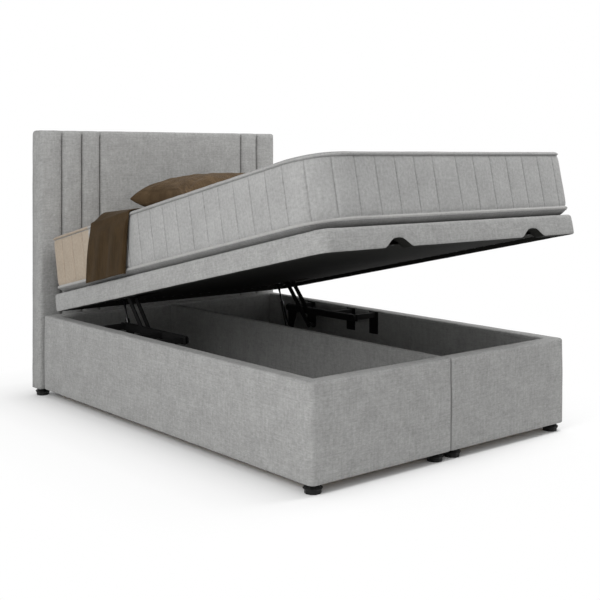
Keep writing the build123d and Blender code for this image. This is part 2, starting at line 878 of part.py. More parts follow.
def mattress_outline(stand_out):
    width = mattress_width + 2 * stand_out
    length = mattress_length + 2 * stand_out
    return RectangleRounded(width, length, mattress_corner_round + stand_out)


def quilted_outline():
    """The plan of the side panel: shallow swellings between upright seams."""
    path = mattress_outline(-quilt_bulge).wire()
    points = []
    for index in range(quilt_count):
        points.append(path @ (index / quilt_count))
        for place in (-quilt_flat_share, quilt_flat_share):
            share = (index + (1 + place) / 2) / quilt_count
            along = path % share
            outward = Vector(along.Y, -along.X, 0)
            if outward.dot(path @ share) < 0:
                outward = outward * -1
            points.append(path @ share + outward * quilt_bulge)
    return make_face(Polyline(*points, close=True))


def layer(sketch, low, high):
    return Pos(0, 0, low) * extrude(sketch, high - low)


def tape(low):
    band = layer(mattress_outline(tape_stand_out), low, low + tape_height)
    ends = band.edges().group_by(Axis.Z)
    return chamfer(ends[0] + ends[-1], tape_chamfer)


def tapered(low_inset, high_inset, low, high):
    sections = [Pos(0, 0, low) * mattress_outline(-low_inset),
                Pos(0, 0, high) * mattress_outline(-high_inset)]
    return loft(sections, ruled=True)


def mattress():
    low_tape = mattress_bottom + tuck_height
    panel_low = low_tape + tape_height
    panel_high = panel_low + border_panel_height
    pieces = [tapered(tuck_inset, 0, mattress_bottom, low_tape), tape(low_tape),
              layer(quilted_outline(), panel_low, panel_high), tape(panel_high)]
    for (low_share, low_reach), (high_share, high_reach) in zip(crown_step_shares, crown_step_shares[1:]):
        low = mattress_seam + low_share * crown_height
        high = mattress_seam + high_share * crown_height
        pieces.append(tapered(low_reach * crown_reach, high_reach * crown_reach, low, high))
    body = pieces[0]
    for piece in pieces[1:]:
        body += piece
    centre = -mattress_head_inset - mattress_length / 2
    return Pos(0, centre, 0) * body


def pillow():
    """A plump pillow with pinched ends, its head side raised: lens sections lofted across its width."""
    sections = []
    for place, depth, plump in zip(pillow_place_shares, pillow_depth_shares, pillow_thickness_shares):
        half = depth * pillow_depth / 2
        thick = pillow_pinch + plump * (pillow_thickness - pillow_pinch)
        over_share = 1 - pillow_under_share
        top = [(along * half, rise * over_share * thick) for along, rise in pillow_section_shares]
        under = [(-along * half, -rise * pillow_under_share * thick) for along, rise in pillow_section_shares]
        lens = make_face(Polyline(*top, *under, close=True))
        plane = Plane(origin=(place * pillow_width / 2, 0, 0), x_dir=(0, 1, 0), z_dir=(1, 0, 0))
        sections.append(plane.location * lens)
    cushion = Rot(pillow_tilt, 0, 0) * loft(sections, ruled=True)
    lowest = min(corner.Z for corner in cushion.vertices())
    rest = mattress_top + throw_thickness + 2 * soft_gap
    return Pos(pillow_centre_offset, -pillow_centre_from_head, rest - lowest) * cushion


def throw_section(start, end, depth, height):
    """A strip of cloth seen from above, with folds of the given depth."""
    outer = -mattress_width / 2 - tape_stand_out - soft_gap - throw_thickness
    fold = (end - start) / (2 * throw_fold_count)
    outside = []
    for index in range(2 * throw_fold_count + 1):
        crest = depth if index % 2 else 0
        outside.append((outer - crest, -(start + index * fold)))
    inside = [(across + throw_thickness, along) for across, along in reversed(outside)]
    return Pos(0, 0, height) * make_face(Polyline(*outside, *inside, close=True))


def throw():
    """A folded blanket that lies across the mattress and hangs down its left side."""
    shoulder = mattress_seam
    hem = platform_height + throw_hem_lift
    sections = [
        throw_section(throw_bottom_start_from_head, throw_bottom_end_from_head, throw_fold_depth, hem),
        throw_section(throw_top_start_from_head, throw_top_end_from_head, soft_gap, shoulder),
    ]
    drop = loft(sections, ruled=True)
    outer = -mattress_width / 2 - tape_stand_out - soft_gap - throw_thickness
    rest = mattress_top + soft_gap
    reach = outer + throw_top_reach
    bend = crown_height + throw_thickness + soft_gap
    inner_bend = bend - throw_thickness
    slope = cos(radians(throw_bend_middle))
    top_curve = ThreePointArc((outer, shoulder), (outer + bend * (1 - slope), shoulder + bend * slope),
                              (outer + bend, rest + throw_thickness))
    low_curve = ThreePointArc((outer + throw_thickness, shoulder),
                              (outer + bend - inner_bend * slope, shoulder + inner_bend * slope),
                              (outer + bend, rest))
    across = [Line((outer + bend, rest + throw_thickness), (reach, rest + throw_thickness)),
              Line((reach, rest + throw_thickness), (reach, rest)), Line((reach, rest), (outer + bend, rest))]
    foot = Line((outer, shoulder), (outer + throw_thickness, shoulder))
    profile = make_face([top_curve, low_curve, foot] + across)
    width = throw_top_end_from_head - throw_top_start_from_head
    sheet = Plane(origin=(0, -throw_top_start_from_head, 0), x_dir=(1, 0, 0), z_dir=(0, -1, 0)).location
    return drop + sheet * extrude(profile, width)


def one_node(shape):
    """Separate solids of one node as a group, a single solid by itself."""
    solids = shape.solids()
    return solids[0] if len(solids) == 1 else Compound(solids)


ring = panel_ring()
border_ring = platform_ring()
nodes = {}
for side, name in ((-1, "left"), (1, "right")):
    nodes[f"base_side_cover_{name}"] = base_panel(name, ring)
    nodes[f"base_side_board_{name}"] = base_board(name)
    nodes[f"base_foot_cover_{name}"] = base_panel(f"foot_{name}", ring)
    nodes[f"base_foot_board_{name}"] = base_board(f"foot_{name}")
    nodes[f"side_lining_{name}"] = side_lining(side)
    nodes[f"floor_panel_{name}"] = floor_panel(side)
    nodes[f"divider_board_{name}"] = divider_board(side)
    nodes[f"mechanism_console_{name}"] = mechanism_console(side)
    nodes[f"lower_bracket_{name}"] = lower_bracket(side)
    nodes[f"upper_bracket_{name}"] = upper_bracket(side)
    nodes[f"rear_link_{name}"] = rear_link(side)
    nodes[f"front_link_{name}"] = front_link(side)
    nodes[f"strut_cylinder_{name}"] = strut_cylinder(side)
    nodes[f"strut_rod_{name}"] = strut_rod(side)
    nodes[f"platform_side_cover_{name}"] = on_platform(border_cover(name, border_ring))
    nodes[f"platform_side_rail_{name}"] = on_platform(border_rail(name))
    nodes[f"platform_bearer_{name}"] = on_platform(long_bearer(side))
nodes["base_head_cover"] = with_headboard_holes(base_panel("head", ring))
nodes["base_head_board"] = with_headboard_holes(base_board("head"))
nodes["foot_lining"] = end_lining(wall)
nodes["head_lining"] = with_headboard_holes(end_lining(base_length - wall - lining))
nodes["divider_bolts"] = divider_bolts()
nodes["floor_battens"] = floor_battens()
nodes["corner_plates"] = corner_plates()
nodes["glides"] = glides()
nodes["headboard_cover"] = headboard_cover()
nodes["headboard_board"] = headboard_board_piece()
nodes["headboard_bolts"] = headboard_bolts()
nodes["base_pivot_pins"] = both(lambda side: pivot_pins(rear_low, front_low, strut_low, side))
nodes["platform_pivot_pins"] = both(lambda side: pivot_pins(rear_high, front_high, strut_high, side))
nodes["base_bracket_screws"] = both(lambda side: bracket_screws(bar_screw_points(), side))
nodes["platform_bracket_screws"] = both(lambda side: bracket_screws(upper_screw_points(), side))
nodes["platform_foot_cover"] = on_platform(border_cover("foot", border_ring))
nodes["platform_foot_rail"] = on_platform(border_rail("foot"))
nodes["platform_head_cover"] = on_platform(border_cover("head", border_ring))
nodes["platform_head_rail"] = on_platform(border_rail("head"))
nodes["deck_board_head"] = on_platform(deck_board("head"))
nodes["deck_board_foot"] = on_platform(deck_board("foot"))
nodes["platform_cross_bearers"] = on_platform(cross_bearers())
nodes["dust_cloth"] = on_platform(dust_cloth_sheet())
nodes["mattress"] = on_platform(mattress())
nodes["pillow"] = on_platform(pillow())
nodes["throw"] = on_platform(throw())

whole = Compound([solid for shape in nodes.values() for solid in shape.solids()])
bounds = whole.bounding_box()
centre_shift = Pos(-(bounds.min.X + bounds.max.X) / 2, -(bounds.min.Y + bounds.max.Y) / 2, -bounds.min.Z)

os.makedirs("parts", exist_ok=True)
for name, shape in nodes.items():
    export_step(centre_shift * one_node(shape), f"parts/{name}.step")

print("nodes", len(nodes), "size", bounds.size)
print("shift", centre_shift.position)
for name, place in (("rear_low", rear_low), ("front_low", front_low), ("strut_low", strut_low),
                    ("rear_high", rear_high), ("front_high", front_high), ("strut_high", strut_high)):
    print(name, round(place[0] + centre_shift.position.Y, 3), round(place[1] + centre_shift.position.Z, 3))
print("strut angle", round(strut_angle, 3), "length", round(strut_length, 3))
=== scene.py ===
import bpy
import bmesh
import math
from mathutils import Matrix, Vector, noise


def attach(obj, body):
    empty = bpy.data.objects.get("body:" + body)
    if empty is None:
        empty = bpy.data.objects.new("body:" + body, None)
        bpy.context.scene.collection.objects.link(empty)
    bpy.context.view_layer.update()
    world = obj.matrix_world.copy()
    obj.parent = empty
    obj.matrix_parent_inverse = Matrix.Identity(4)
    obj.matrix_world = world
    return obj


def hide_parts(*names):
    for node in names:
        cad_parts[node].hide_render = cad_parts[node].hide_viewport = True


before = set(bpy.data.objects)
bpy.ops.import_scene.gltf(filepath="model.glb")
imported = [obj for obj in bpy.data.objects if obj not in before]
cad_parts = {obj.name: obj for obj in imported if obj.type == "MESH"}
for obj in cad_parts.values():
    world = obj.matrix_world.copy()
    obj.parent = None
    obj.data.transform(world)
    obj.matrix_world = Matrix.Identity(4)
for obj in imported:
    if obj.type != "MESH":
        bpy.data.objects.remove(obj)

noise.seed_set(5)   # without a seed noise_vector starts from the clock

for leftover in ("Cube", "Light", "Camera"):
    if bpy.data.objects.get(leftover):
        bpy.data.objects.remove(bpy.data.objects[leftover], do_unlink=True)
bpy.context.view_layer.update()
print("frame loaded:", len(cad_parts), "nodes")


# Numbers, places along a line and meshes. Lengths are in metres
meshing = {"merge": 2e-6, "sliver": 1e-6}


def smoothStep(value):
    value = min(max(value, 0.0), 1.0)
    return value * value * (3 - 2 * value)


def bell(distance, width):
    return math.exp(-(distance / width) ** 2)


def cornerShares(steps):
    # Points of a rounded corner as shares of its radius: how far in, how far down
    angles = [math.radians(90 * k / steps) for k in range(steps + 1)]
    return [(1 - math.cos(angle), 1 - math.sin(angle)) for angle in angles]


def spread(marks, step):
    # The marks with even steps filled in between them
    filled = []
    for low, high in zip(marks, marks[1:]):
        count = max(1, round((high - low) / step))
        filled += [low + (high - low) * k / count for k in range(count)]
    return filled + [marks[-1]]


def lengthsAlong(points, closing=0.0):
    # Length so far at each point, then the whole length with a closing piece back to the first point
    lengths = [0.0]
    for a, b in zip(points, points[1:]):
        lengths.append(lengths[-1] + math.dist(a, b))
    return lengths + [lengths[-1] + closing]


def wave(height, turns):
    return height * math.sin(2 * math.pi * turns)


def uneven(point, amount, size):
    return point + noise.noise_vector(point / size) * amount


def addObject(name, data):
    added = bpy.data.objects.new(name, data)
    bpy.context.scene.collection.objects.link(added)
    return added


def finishMesh(name, points, faces, corners, materials, slots):
    # corners: the UV of each face's corners, in metres along the cloth
    mesh = bpy.data.meshes.new(name)
    mesh.from_pydata([tuple(point) for point in points], [], faces)
    layer = mesh.uv_layers.new(name="clothUv")
    for material in materials:
        mesh.materials.append(material)
    for polygon, uvs, slot in zip(mesh.polygons, corners, slots):
        polygon.material_index = slot
        for loop, uv in zip(polygon.loop_indices, uvs):
            layer.data[loop].uv = uv
    work = bmesh.new()
    work.from_mesh(mesh)
    bmesh.ops.remove_doubles(work, verts=work.verts, dist=meshing["merge"])
    bmesh.ops.dissolve_degenerate(work, edges=work.edges, dist=meshing["sliver"])
    bmesh.ops.recalc_face_normals(work, faces=work.faces)
    for face in work.faces:
        face.smooth = True
    work.to_mesh(mesh)
    work.free()
    return addObject(name, mesh)


def sweptPiece(name, rows, uv, materials, closed=False, loop=True, capUv=None, slotOf=None):
    # rows[i][j] is a point: i runs along the piece, j round its section
    along, around = len(rows), len(rows[0])
    points = [point for row in rows for point in row]
    faces, corners, slots = [], [], []
    for i in range(along if closed else along - 1):
        for j in range(around if loop else around - 1):
            a, b = i * around, ((i + 1) % along) * around
            c, d = j, (j + 1) % around
            faces.append((a + c, b + c, b + d, a + d))
            corners.append((uv(i, j), uv(i + 1, j), uv(i + 1, j + 1), uv(i, j + 1)))
            slots.append(slotOf(i, j) if slotOf else 0)
    if loop and not closed:
        for i in (0, along - 1):
            faces.append(tuple(i * around + j for j in range(around)))
            corners.append([(capUv or uv)(i, j) for j in range(around)])
            slots.append(0)
    return finishMesh(name, points, faces, corners, materials, slots)


def roundedPath(low, high, radii, step, bend):
    # Stations round a rounded rectangle, anticlockwise from the middle of its foot side to one step
    # before it: point, outward normal, length so far.
    # Radii: foot right, head right, head left, foot left
    corners = [((high[0], low[1]), -90, radii[0]), ((high[0], high[1]), 0, radii[1]),
               ((low[0], high[1]), 90, radii[2]), ((low[0], low[1]), 180, radii[3])]
    bends = []
    for (x, y), start, radius in corners:
        centreX = x - math.copysign(radius, x)
        centreY = y + (radius if start in (-90, 180) else -radius)
        angles = [start + 90 * k / bend for k in range(bend + 1)]
        bends.append([(centreX + radius * math.cos(math.radians(angle)),
                       centreY + radius * math.sin(math.radians(angle)), angle) for angle in angles])
    middle = ((low[0] + high[0]) / 2, low[1])
    starts = [middle] + [turn[-1] for turn in bends]
    ends = [turn[0] for turn in bends] + [middle]
    stations = [(*middle, -90)]
    for number, (start, end) in enumerate(zip(starts, ends)):
        count = max(1, round(math.dist(start[:2], end[:2]) / step))
        for k in range(1, count + (number < 4)):
            share = k / count
            stations.append((start[0] + (end[0] - start[0]) * share,
                             start[1] + (end[1] - start[1]) * share, -90 + 90 * number))
        if number < 4:
            stations += bends[number][1:]
    path = []
    for (x, y, angle), length in zip(stations, lengthsAlong([station[:2] for station in stations])):
        turn = math.radians(angle)
        path.append((Vector((x, y)), Vector((math.cos(turn), math.sin(turn))), length))
    return path


def stationAt(path, length):
    for first, second in zip(path, path[1:]):
        if first[2] <= length <= second[2] and second[2] > first[2]:
            share = (length - first[2]) / (second[2] - first[2])
            return (first[0].lerp(second[0], share), first[1].lerp(second[1], share).normalized(), length)
    return path[-1]


def wallPlace(point, normal, wall, inner, depth, share):
    # A place in a wall round a rectangle: share 0 at its outer face, 1 at its inner face, below 0 it
    # bulges by its depth. inner: half width, foot end and head end of the clear rectangle
    if share < 0:
        return point - normal * depth
    inside = point - normal * wall
    inside.x = min(max(inside.x, -inner[0]), inner[0])
    inside.y = min(max(inside.y, inner[1]), inner[2])
    return point.lerp(inside, share)


# Nodes of the materials
def newMaterial(name):
    material = bpy.data.materials.new(name)
    material.use_nodes = True
    tree = material.node_tree
    return material, tree, tree.nodes["Principled BSDF"]


def setInputs(tree, node, inputs):
    # A value that is a socket is linked, any other is set
    for key, value in inputs.items():
        if isinstance(value, bpy.types.NodeSocket):
            tree.links.new(value, node.inputs[key])
        else:
            node.inputs[key].default_value = value


def addNode(tree, kind, inputs=None, **settings):
    node = tree.nodes.new(kind)
    for key, value in settings.items():
        setattr(node, key, value)
    setInputs(tree, node, inputs or {})
    return node


def scaledCoordinates(tree, source, scale=(1, 1, 1), turn=(0, 0, 0)):
    inputs = {"Vector": addNode(tree, "ShaderNodeTexCoord").outputs[source], "Scale": scale, "Rotation": turn}
    return addNode(tree, "ShaderNodeMapping", inputs).outputs["Vector"]


def noiseValues(tree, *layers):
    # Each layer: coordinates, scale, detail, roughness
    names = ("Vector", "Scale", "Detail", "Roughness")
    return [addNode(tree, "ShaderNodeTexNoise", dict(zip(names, layer))).outputs["Fac"] for layer in layers]


def mathValue(tree, operation, *values):
    return addNode(tree, "ShaderNodeMath", dict(enumerate(values)), operation=operation).outputs[0]


def weightedSum(tree, *pairs):
    total = mathValue(tree, "MULTIPLY", *pairs[0])
    for value, weight in pairs[1:]:
        total = mathValue(tree, "MULTIPLY_ADD", value, weight, total)
    return total


def rampColour(tree, value, *stops):
    ramp = addNode(tree, "ShaderNodeValToRGB", {"Fac": value})
    for element, (position, colour) in zip(ramp.color_ramp.elements, (stops[0], stops[-1])):
        element.position, element.color = position, (*colour, 1)
    for position, colour in stops[1:-1]:
        ramp.color_ramp.elements.new(position).color = (*colour, 1)
    return ramp.outputs["Color"]


def raised(tree, height, strength, distance):
    bump = addNode(tree, "ShaderNodeBump", {"Height": height, "Strength": strength, "Distance": distance})
    return bump.outputs["Normal"]


def middleShade(pale, dark):
    return tuple((a + b) / 2 for a, b in zip(pale, dark))


# Heathered upholstery cloth: yarn flecks, faint crossing threads and soft brushed blotches
def chenille(name, source, pale, dark, sheen=0.12):
    material, tree, shader = newMaterial(name)
    onUv = source == "UV"
    plain = scaledCoordinates(tree, source)
    streaky = scaledCoordinates(tree, source, (0.45, 1.25, 1.25) if onUv else (0.5, 0.5, 1.25))
    crosswise = scaledCoordinates(tree, source, (0.07, 1, 1) if onUv else (0.07, 0.07, 1))
    lengthwise = scaledCoordinates(tree, source, (1, 0.09, 1) if onUv else (1, 1, 0.09))
    yarn, fleck, weft, warp, tuft, blotch = noiseValues(
        tree, (streaky, 620, 2, 0.6), (streaky, 170, 3, 0.62), (crosswise, 150, 3, 0.6),
        (lengthwise, 120, 3, 0.6), (plain, 62, 3, 0.6), (plain, 13, 3, 0.55))
    value = weightedSum(tree, (yarn, 0.16), (fleck, 0.22), (weft, 0.14), (warp, 0.13), (tuft, 0.2),
                        (blotch, 0.15))
    height = weightedSum(tree, (yarn, 0.5), (fleck, 0.3), (weft, 0.25), (warp, 0.25), (tuft, 0.3))
    setInputs(tree, shader, {
        "Base Color": rampColour(tree, value, (0.37, dark), (0.5, middleShade(pale, dark)), (0.63, pale)),
        "Roughness": 0.92, "Specular IOR Level": 0.15, "Sheen Weight": sheen, "Sheen Roughness": 0.45,
        "Normal": raised(tree, height, 0.55, 0.0015)})
    return material


# Mattress knit: fine upright ribs with faint heather, and thin dark lines where the quilting is sewn
def knit(name, pale, dark, seamPitch=None):
    material, tree, shader = newMaterial(name)
    plain = scaledCoordinates(tree, "UV")
    ribbed = scaledCoordinates(tree, "UV", (1.6, 0.12, 1))
    ribs, grain, heather, cloud = noiseValues(tree, (ribbed, 130, 2, 0.55), (plain, 520, 2, 0.6),
                                              (plain, 85, 3, 0.6), (plain, 9, 2, 0.5))
    value = weightedSum(tree, (ribs, 0.14), (grain, 0.3), (heather, 0.36), (cloud, 0.2))
    height = weightedSum(tree, (ribs, 0.25), (grain, 0.5))
    if seamPitch:
        across = addNode(tree, "ShaderNodeSeparateXYZ", {"Vector": plain}).outputs["X"]
        along = mathValue(tree, "FRACT", mathValue(tree, "MULTIPLY_ADD", across, 1 / seamPitch, 0.5))
        away = mathValue(tree, "ABSOLUTE", mathValue(tree, "SUBTRACT", along, 0.5))
        limits = {"Value": away, "From Min": 0.004, "From Max": 0.046, "To Min": 1.0, "To Max": 0.0}
        line = addNode(tree, "ShaderNodeMapRange", limits, interpolation_type="SMOOTHSTEP").outputs["Result"]
        worn, = noiseValues(tree, (scaledCoordinates(tree, "UV", (7, 5, 1)), 3, 2, 0.6))
        strength = mathValue(tree, "MULTIPLY", line, mathValue(tree, "MULTIPLY", worn, 0.25))
        value = mathValue(tree, "SUBTRACT", value, strength)
        height = mathValue(tree, "SUBTRACT", height, strength)
    deep = tuple(0.45 * channel for channel in dark)
    setInputs(tree, shader, {
        "Base Color": rampColour(tree, value, (0.2, deep), (0.36, dark), (0.64, pale)),
        "Roughness": 0.85, "Specular IOR Level": 0.2, "Sheen Weight": 0.08, "Sheen Roughness": 0.4,
        "Normal": raised(tree, height, 0.45, 0.0012)})
    return material


# Brushed satin of the pillow and the throw: fine diagonal twill, soft highlights
def satin(name, pale, dark):
    material, tree, shader = newMaterial(name)
    plain = scaledCoordinates(tree, "UV")
    wave = addNode(tree, "ShaderNodeTexWave", {"Vector": plain, "Scale": 240, "Distortion": 1.5},
                   wave_type="BANDS", bands_direction="DIAGONAL")
    twill = wave.outputs["Fac"]
    streak, cloud = noiseValues(tree, (scaledCoordinates(tree, "UV", (1.5, 0.12, 1)), 75, 3, 0.6),
                                (plain, 14, 3, 0.55))
    value = weightedSum(tree, (twill, 0.2), (streak, 0.45), (cloud, 0.35))
    setInputs(tree, shader, {
        "Base Color": rampColour(tree, value, (0.34, dark), (0.66, pale)),
        "Roughness": 0.72, "Specular IOR Level": 0.06, "Sheen Weight": 0.02, "Sheen Roughness": 0.35,
        "Normal": raised(tree, weightedSum(tree, (twill, 0.6), (streak, 0.3)), 0.35, 0.0006)})
    return material


# Powder-coated or plated steel, glossy lacquer and moulded plastic
def coated(name, colour, roughness, metallic=0.0, grain=900, coat=0.0, shine=0.3):
    material, tree, shader = newMaterial(name)
    plain = scaledCoordinates(tree, "Object")
    fine, cloud = noiseValues(tree, (plain, grain, 2, 0.5), (plain, 22, 3, 0.6))
    value = weightedSum(tree, (fine, 0.5), (cloud, 0.5))
    dark, pale = (tuple(channel * level for channel in colour) for level in (0.75, 1.25))
    limits = {"Value": cloud, "To Min": roughness * 0.85, "To Max": roughness * 1.15}
    setInputs(tree, shader, {
        "Base Color": rampColour(tree, value, (0.35, dark), (0.65, pale)),
        "Roughness": addNode(tree, "ShaderNodeMapRange", limits).outputs["Result"], "Metallic": metallic,
        "Specular IOR Level": shine, "Coat Weight": coat, "Normal": raised(tree, fine, 0.2, 0.0003)})
    return material


# Planed softwood, or pressed board where the grain is short
def timber(name, pale, dark, turn=(0, 0, 0), stretch=0.06):
    material, tree, shader = newMaterial(name)
    along = scaledCoordinates(tree, "Object", (1, stretch, 1), turn)
    plain = scaledCoordinates(tree, "Object", (1, 1, 1), turn)
    grain, bands, pores = noiseValues(tree, (along, 160, 4, 0.65), (along, 26, 3, 0.5), (plain, 420, 2, 0.5))
    value = weightedSum(tree, (grain, 0.45), (bands, 0.4), (pores, 0.15))
    setInputs(tree, shader, {
        "Base Color": rampColour(tree, value, (0.36, dark), (0.52, middleShade(pale, dark)), (0.66, pale)),
        "Roughness": 0.7, "Normal": raised(tree, grain, 0.3, 0.0006)})
    return material


# Spun non-woven dust cloth: matt black with a point-bonded dimple pattern
def nonWoven(name, pale, dark):
    material, tree, shader = newMaterial(name)
    plain = scaledCoordinates(tree, "Object")
    dots = addNode(tree, "ShaderNodeTexVoronoi", {"Vector": plain, "Scale": 420})
    fibre, = noiseValues(tree, (plain, 260, 4, 0.7))
    value = weightedSum(tree, (dots.outputs["Distance"], 0.5), (fibre, 0.5))
    setInputs(tree, shader, {
        "Base Color": rampColour(tree, value, (0.3, dark), (0.7, pale)),
        "Roughness": 0.9, "Specular IOR Level": 0.15, "Normal": raised(tree, value, 0.4, 0.0008)})
    return material


greyCloth = chenille("greyChenille", "UV", (0.385, 0.385, 0.378), (0.19, 0.19, 0.186))
darkCloth = chenille("darkChenilleLining", "Object", (0.36, 0.36, 0.352), (0.2, 0.2, 0.196), 0.06)
pillowCloth = satin("brownPillowSatin", (0.122, 0.082, 0.046), (0.044, 0.028, 0.015))
throwCloth = satin("brownThrowSatin", (0.056, 0.035, 0.016), (0.024, 0.015, 0.007))
blackSteel = coated("blackPowderCoatedSteel", (0.008, 0.008, 0.008), 0.5, shine=0.18)
consolePaint = coated("blackConsolePaint", (0.009, 0.009, 0.009), 0.75, shine=0.1)
boltCaps = coated("greyBoltCaps", (0.24, 0.24, 0.235), 0.6)
zincSteel = coated("blackenedBolts", (0.03, 0.03, 0.032), 0.32, metallic=0.8)
strutLacquer = coated("glossyStrutLacquer", (0.008, 0.008, 0.008), 0.2, coat=0.5)
strutSteel = coated("blackNitridedStrutRod", (0.035, 0.035, 0.037), 0.2, metallic=0.9, grain=1500)
glidePlastic = coated("blackGlidePlastic", (0.007, 0.007, 0.007), 0.45, grain=1300, shine=0.2)
softwoodShades = [(0.62, 0.45, 0.28), (0.42, 0.28, 0.15)]
softwood = timber("planedSoftwood", *softwoodShades)
crossSoftwood = timber("planedSoftwoodAcross", *softwoodShades, turn=(0, 0, math.pi / 2))
# Bearers darkened nearly to black: painted shade of the platform's underside, where they show through the slots
# of the dust cloth
shadeDarkenedSoftwood = timber("paintedShadeSoftwood", (0.045, 0.036, 0.027), (0.024, 0.019, 0.015))
pressedBoard = timber("pressedBoard", (0.46, 0.36, 0.25), (0.33, 0.25, 0.16), stretch=0.7)
darkBoard = timber("darkFloorBoard", (0.05, 0.05, 0.048), (0.03, 0.03, 0.029), stretch=0.8)
dustFabric = nonWoven("blackDustCloth", (0.016, 0.016, 0.014), (0.006, 0.006, 0.005))
print("materials made")


# Base: padded covers right, left and at the head, with an open seam in the middle of the foot panel
bed = {"halfWidth": 0.7, "footY": -1.00589, "headY": 0.99411, "wall": 0.06, "low": 0.035, "top": 0.39,
       "cornerRound": 0.02, "edgeRound": 0.009, "footRound": 0.004, "puff": 0.002, "step": 0.014,
       "uneven": 0.0007, "unevenSize": 0.07, "seamSteps": [0.0042, 0.0053, 0.0067], "seamPull": 0.005,
       "seamSoft": 0.006, "clear": 0.001}


def baseSection():
    # Outer face upwards, rounded top, inner face downwards: depth from the outer face, height
    depth, low, top, edge, foot = (bed[key] for key in ("wall", "low", "top", "edgeRound", "footRound"))
    points = [(foot, low), (0.0, low + foot)]
    count = max(2, round((top - low) / bed["step"]))
    for share in (k / count for k in range(1, count)):
        height = low + foot + (top - edge - low - foot) * share
        points.append((-bed["puff"] * math.sin(math.pi * share), height))
    points += [(edge * inwards, top - edge * down) for inwards, down in cornerShares(4)]
    points += [(edge + (depth - 2 * edge) * k / 6, top) for k in range(1, 6)]
    points += [(depth - edge * inwards, top - edge * down) for down, inwards in cornerShares(4)]
    points += [(depth, low + (top - low) * share) for share in (0.7, 0.4, 0.1, 0)]
    return points


def baseCover(name, stations, nodes, seams=()):
    wall = bed["wall"]
    section = baseSection()
    inner = (bed["halfWidth"] - wall, bed["footY"] + wall, bed["headY"] - wall)
    rows = []
    for point, normal, length in stations:
        pull = sum(bed["seamPull"] * math.exp(-abs(length - seam) / bed["seamSoft"]) for seam in seams)
        row = []
        for depth, height in section:
            share = (depth + pull * (1 - depth / wall)) / wall
            place = wallPlace(point, normal, wall, inner, depth, share)
            row.append(uneven(Vector((place.x, place.y, height)), bed["uneven"], bed["unevenSize"]))
        rows.append(row)
    around = lengthsAlong(section, wall)
    piece = sweptPiece(name, rows, lambda i, j: (stations[i][2], around[j]), [greyCloth])
    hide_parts(*nodes)
    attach(piece, "base")


basePath = roundedPath((-bed["halfWidth"], bed["footY"]), (bed["halfWidth"], bed["headY"]),
                       [bed["cornerRound"]] * 4, bed["step"], 8)
baseLength = basePath[-1][2] + math.dist(basePath[-1][0], basePath[0][0])
basePath.append((basePath[0][0], basePath[0][1], baseLength))
baseCornerLength = math.pi / 2 * bed["cornerRound"]
rightEnd = bed["halfWidth"] + bed["headY"] - bed["footY"] - 3 * bed["cornerRound"] + 1.5 * baseCornerLength
leftStart = baseLength - rightEnd


def baseStretch(starts, ends):
    # Stations at the given lengths, and the base's own stations between the two groups of them
    low, high = starts[-1] + bed["clear"], ends[0] - bed["clear"]
    lengths = starts + [length for point, normal, length in basePath if low <= length <= high] + ends
    return [stationAt(basePath, length) for length in lengths]


seamEnds = [baseLength - step for step in reversed(bed["seamSteps"])]
baseCover("baseCoverRight", baseStretch(bed["seamSteps"], [rightEnd]),
          ["base_side_cover_right", "base_foot_cover_right"], [0.0])
baseCover("baseCoverLeft", baseStretch([leftStart], seamEnds),
          ["base_side_cover_left", "base_foot_cover_left"], [baseLength])
baseCover("baseCoverHead", baseStretch([rightEnd], [leftStart]), ["base_head_cover"])
print("base covers made")


# Headboard: front skin with sewn upright channels that run over the top edge
headboard = {"halfWidth": 0.72, "low": 0.035, "top": 1.284, "front": 0.99411, "thick": 0.076,
             "cornerRound": 0.015, "edgeRound": 0.016, "backRound": 0.008,
             "seams": [-0.598, -0.489, -0.389, 0.489, 0.598],
             "seamDepth": 0.0125, "seamWidth": 0.0042, "softDepth": 0.006, "softWidth": 0.019, "crown": 0.003,
             "seamOnTop": 0.2, "seamAtRoll": 0.3, "seamFade": 0.034, "puffFade": 0.05, "puffLow": 0.3,
             "puffLowFade": 0.1, "frontRows": 82, "backRows": 40, "columnStep": 0.016, "underside": 0.07,
             "uneven": 0.0008, "unevenSize": 0.09,
             "seamSteps": [0, 0.0012, 0.0024, 0.004, 0.0065, 0.011, 0.018, 0.028],
             "edgeSteps": [0, 0.0006, 0.0016, 0.003, 0.005, 0.0075, 0.0105, 0.014, 0.018, 0.022, 0.026]}


def headboardTop(x):
    h = headboard
    past = min(abs(x) - (h["halfWidth"] - h["cornerRound"]), h["cornerRound"])
    if past <= 0:
        return h["top"]
    return h["top"] - h["cornerRound"] + math.sqrt(h["cornerRound"] ** 2 - past ** 2)


def seamDepth(x):
    h = headboard
    return sum(h["seamDepth"] * bell(x - seam, h["seamWidth"]) +
               h["softDepth"] * bell(x - seam, h["softWidth"]) for seam in h["seams"])


def channelCrown(x):
    edges = [-headboard["halfWidth"]] + headboard["seams"] + [headboard["halfWidth"]]
    for low, high in zip(edges, edges[1:]):
        if low <= x <= high:
            share = (x - low) / (high - low)
            return headboard["crown"] * min(1.0, 4 * share * (1 - share) * 1.6)
    return 0.0


def headboardColumns():
    h = headboard
    places = set()
    for side in (-1, 1):
        places |= {seam + side * step for seam in h["seams"] for step in h["seamSteps"]}
        places |= {side * (h["halfWidth"] - step) for step in h["edgeSteps"]}
    return spread(sorted({round(place, 5) for place in places}), h["columnStep"])


